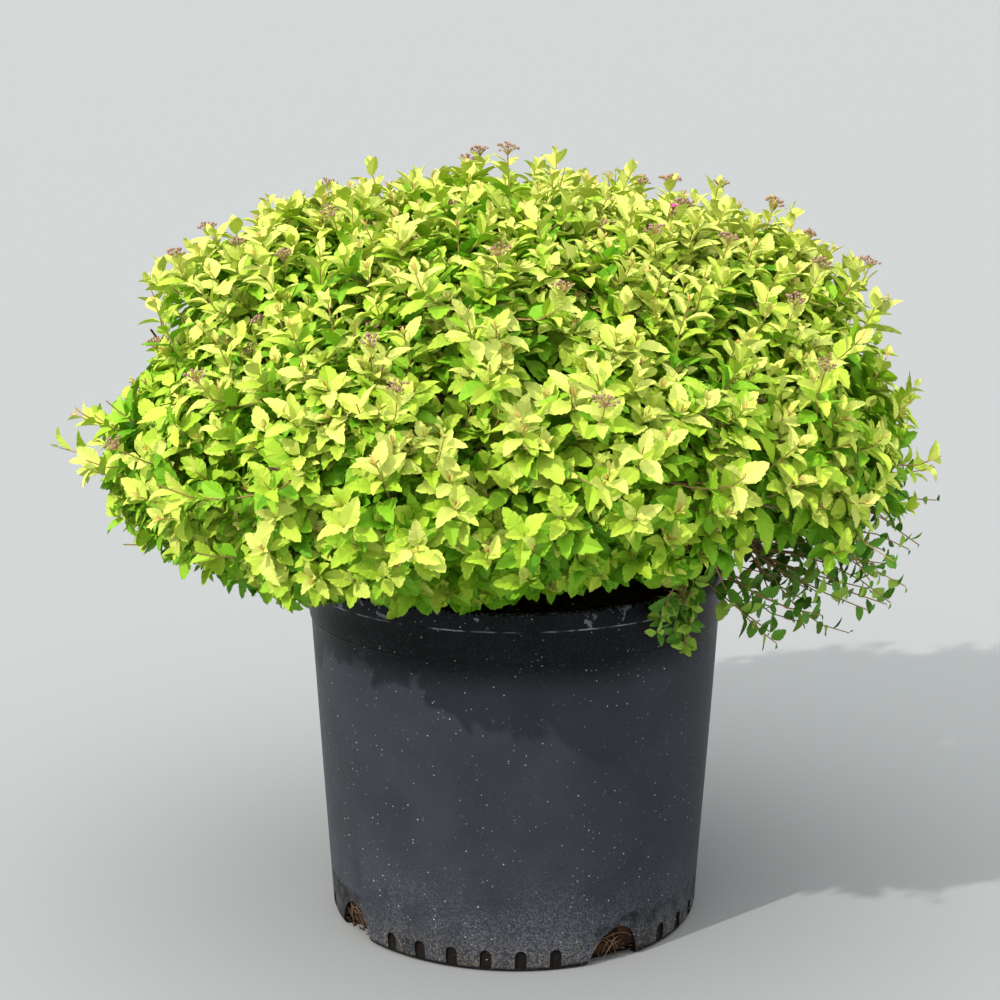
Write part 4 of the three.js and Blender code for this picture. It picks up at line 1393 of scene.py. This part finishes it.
# %% [markdown]
# ## Flower heads in bud
#
# Some of the upper shoots end in a flat head of tiny buds. Thin stalks fan out from the tip to a low
# dome, spread by the golden angle once more, and each carries one bud.

# %% Flower heads
BUDS = 15  # in one head
head_random = seeded_random(41)
bud_points, bud_lines, heads = [], [], []
for shoot in shoots:
    chance = 0.3 * min(1, 2 * shoot["sine"]) if shoot["kind"] == "leader" else 0.07 * (shoot["sine"] - 0.1)
    if shoot["sine"] < 0.1 or head_random() > chance:
        continue
    start, bend, end = shoot["line"]
    axis = ((end - bend).normalized() + UP * 0.4).normalized()
    aside = axis.cross(Vector((0.3, 0.9, 0.1))).normalized()
    across = axis.cross(aside)
    top = end + axis * lerp(-2, 3, head_random())
    heads.append((top, axis, aside, across))
    bud_lines.append(([end, top], [0.5, 0.4]))
    radius = lerp(5, 8, head_random())
    for k in range(BUDS):
        out = radius * math.sqrt((k + 0.5) / BUDS)
        angle = k * GOLDEN_ANGLE + 0.6 * (head_random() - 0.5)
        lift = 8 - 0.5 * out + 2.6 * (head_random() - 0.5)
        bud = top + (aside * math.cos(angle) + across * math.sin(angle)) * out + axis * lift
        bud_lines.append(([top, lerp(top, bud, 0.5) + axis * 0.8, bud], [0.3, 0.25, 0.2]))
        bud_points.append((bud, axis, aside, lerp(1.6, 2.6, head_random()), 0))
print(len(heads), "flower heads of", BUDS, "buds")

# %% [markdown]
# A bud is a small ball, pinkish brown and matt with down, and the same tree as for the leaves puts
# it on its point. The stalks are three-sided lines for the limb tree.

# %% Buds and their stalks
corners, faces = turned([(0, -0.5), (0.46, -0.15), (0.4, 0.3), (0, 0.52)], 5)
bud_shapes = shape_set("bud_shapes", [new_piece("bud_shape", [corner / MM for corner in corners], faces)])
buds = run_tree("flower_buds", points_mesh("buds", bud_points), point_tree, Shapes=bud_shapes, Size=1.0,
                Material=plain_finish("flower_bud_skin", "#A8836E", Roughness=0.7))
finish_piece(buds, "flower_buds", *foliage_nodes)
pedicels = run_tree("flower_stalks", lines_mesh("stalks", bud_lines), limb_tree, Sides=3, Relief=0.0,
                    Grain=1.0, Material=plain_finish("bud_stalk_skin", "#B49A72", Roughness=0.7))
finish_piece(pedicels, "shoots", *foliage_nodes)

# %% [markdown]
# One head has begun to flower. A floret is 5 mm wide, with five rounded magenta petals that are
# cupped a little, thin and softly satin. Four of them stand over the buds of the head at the upper
# right.

# %% First florets
FLORETS = 4
corners, faces = [Vector((0, 0, 0))], []
for petal in range(5):
    turn = petal * 2 * math.pi / 5
    for angle, out, lift in ((-0.42, 0.30, 0.05), (-0.34, 0.46, 0.12), (0, 0.54, 0.15), (0.34, 0.46, 0.12),
                             (0.42, 0.30, 0.05)):
        corners.append(Vector((out * math.cos(turn + angle), out * math.sin(turn + angle), lift)) / MM)
    faces.append([0] + [5 * petal + i for i in range(1, 6)])
floret_shapes = shape_set("floret_shapes", [new_piece("floret_shape", corners, faces)])
in_flower = Vector((116, -60, 455))
top, axis, aside, across = min(heads, key=lambda head: (head[0] - in_flower).length)
floret_points = []
for k in range(FLORETS):
    angle = 1.6 * k
    sideways = aside * math.cos(angle) + across * math.sin(angle)
    floret_points.append((top + axis * (9 - 0.4 * k) + sideways * 2.8, aside, axis + sideways * 0.4, 5.2, 0))
florets = run_tree("florets", points_mesh("florets", floret_points), point_tree, Shapes=floret_shapes,
                   Size=1.0, Material=plain_finish("spirea_petal", "#C84E90", Roughness=0.55))
finish_piece(florets, "petals", *foliage_nodes)

# %% [markdown]
# ## Floor and light
#
# The floor is plain pale matt paint. It isn't part of the shrub.

# %% Floor
far = 4e5  # mm: the floor runs on to where the eye can't tell its end
ends = [Vector((x, y, 0)) for x, y in ((-far, -far), (far, -far), (far, far), (-far, far))]
floor = new_piece("floor", ends, [[0, 1, 2, 3]], plain_finish("studio_floor", "#A0A2A6", Roughness=0.9))
print("floor", round(2 * far * MM), "m wide")

# %% [markdown]
# One lamp at the upper left gives the crisp shadows of leaves on the container, a very soft one
# above fills the crown, and the pale surroundings light the rest. The plain view transform keeps
# the yellow-greens as bright as they are.

# %% Light and view
world = bpy.data.worlds.new("studio")
world.use_nodes = True
give(world.node_tree, world.node_tree.nodes["Background"], Color=linear("#E6E9EA"), Strength=0.66)
bpy.context.scene.world = world


def far_lamp(name, from_where, softness, strength, colour):
    """A far lamp whose light comes from a direction and fills an angle in degrees."""
    light = bpy.data.lights.new(name, "SUN")
    light.angle, light.energy, light.color = math.radians(softness), strength, linear(colour)[:3]
    holder = bpy.data.objects.new(name, light)
    holder.rotation_euler = Vector(from_where).to_track_quat("Z", "Y").to_euler()
    bpy.context.scene.collection.objects.link(holder)


far_lamp("key_light", (-1.0, -0.95, 1.05), 1, 2.4, "#FFF9F0")
far_lamp("fill_light", (-0.1, -0.3, 1.0), 90, 2.8, "#FCFFF6")
bpy.context.scene.view_settings.view_transform = "Standard"
print("two lamps and a pale world")

# %% [markdown]
# ## Clearing up
#
# The shapes that the trees picked from have done their work and go.

# %% Remove the shapes
for collection in (chip_shapes, leaf_shapes, round_shapes, young_shapes, bud_shapes, floret_shapes):
    for shape in list(collection.objects):
        bpy.data.objects.remove(shape)
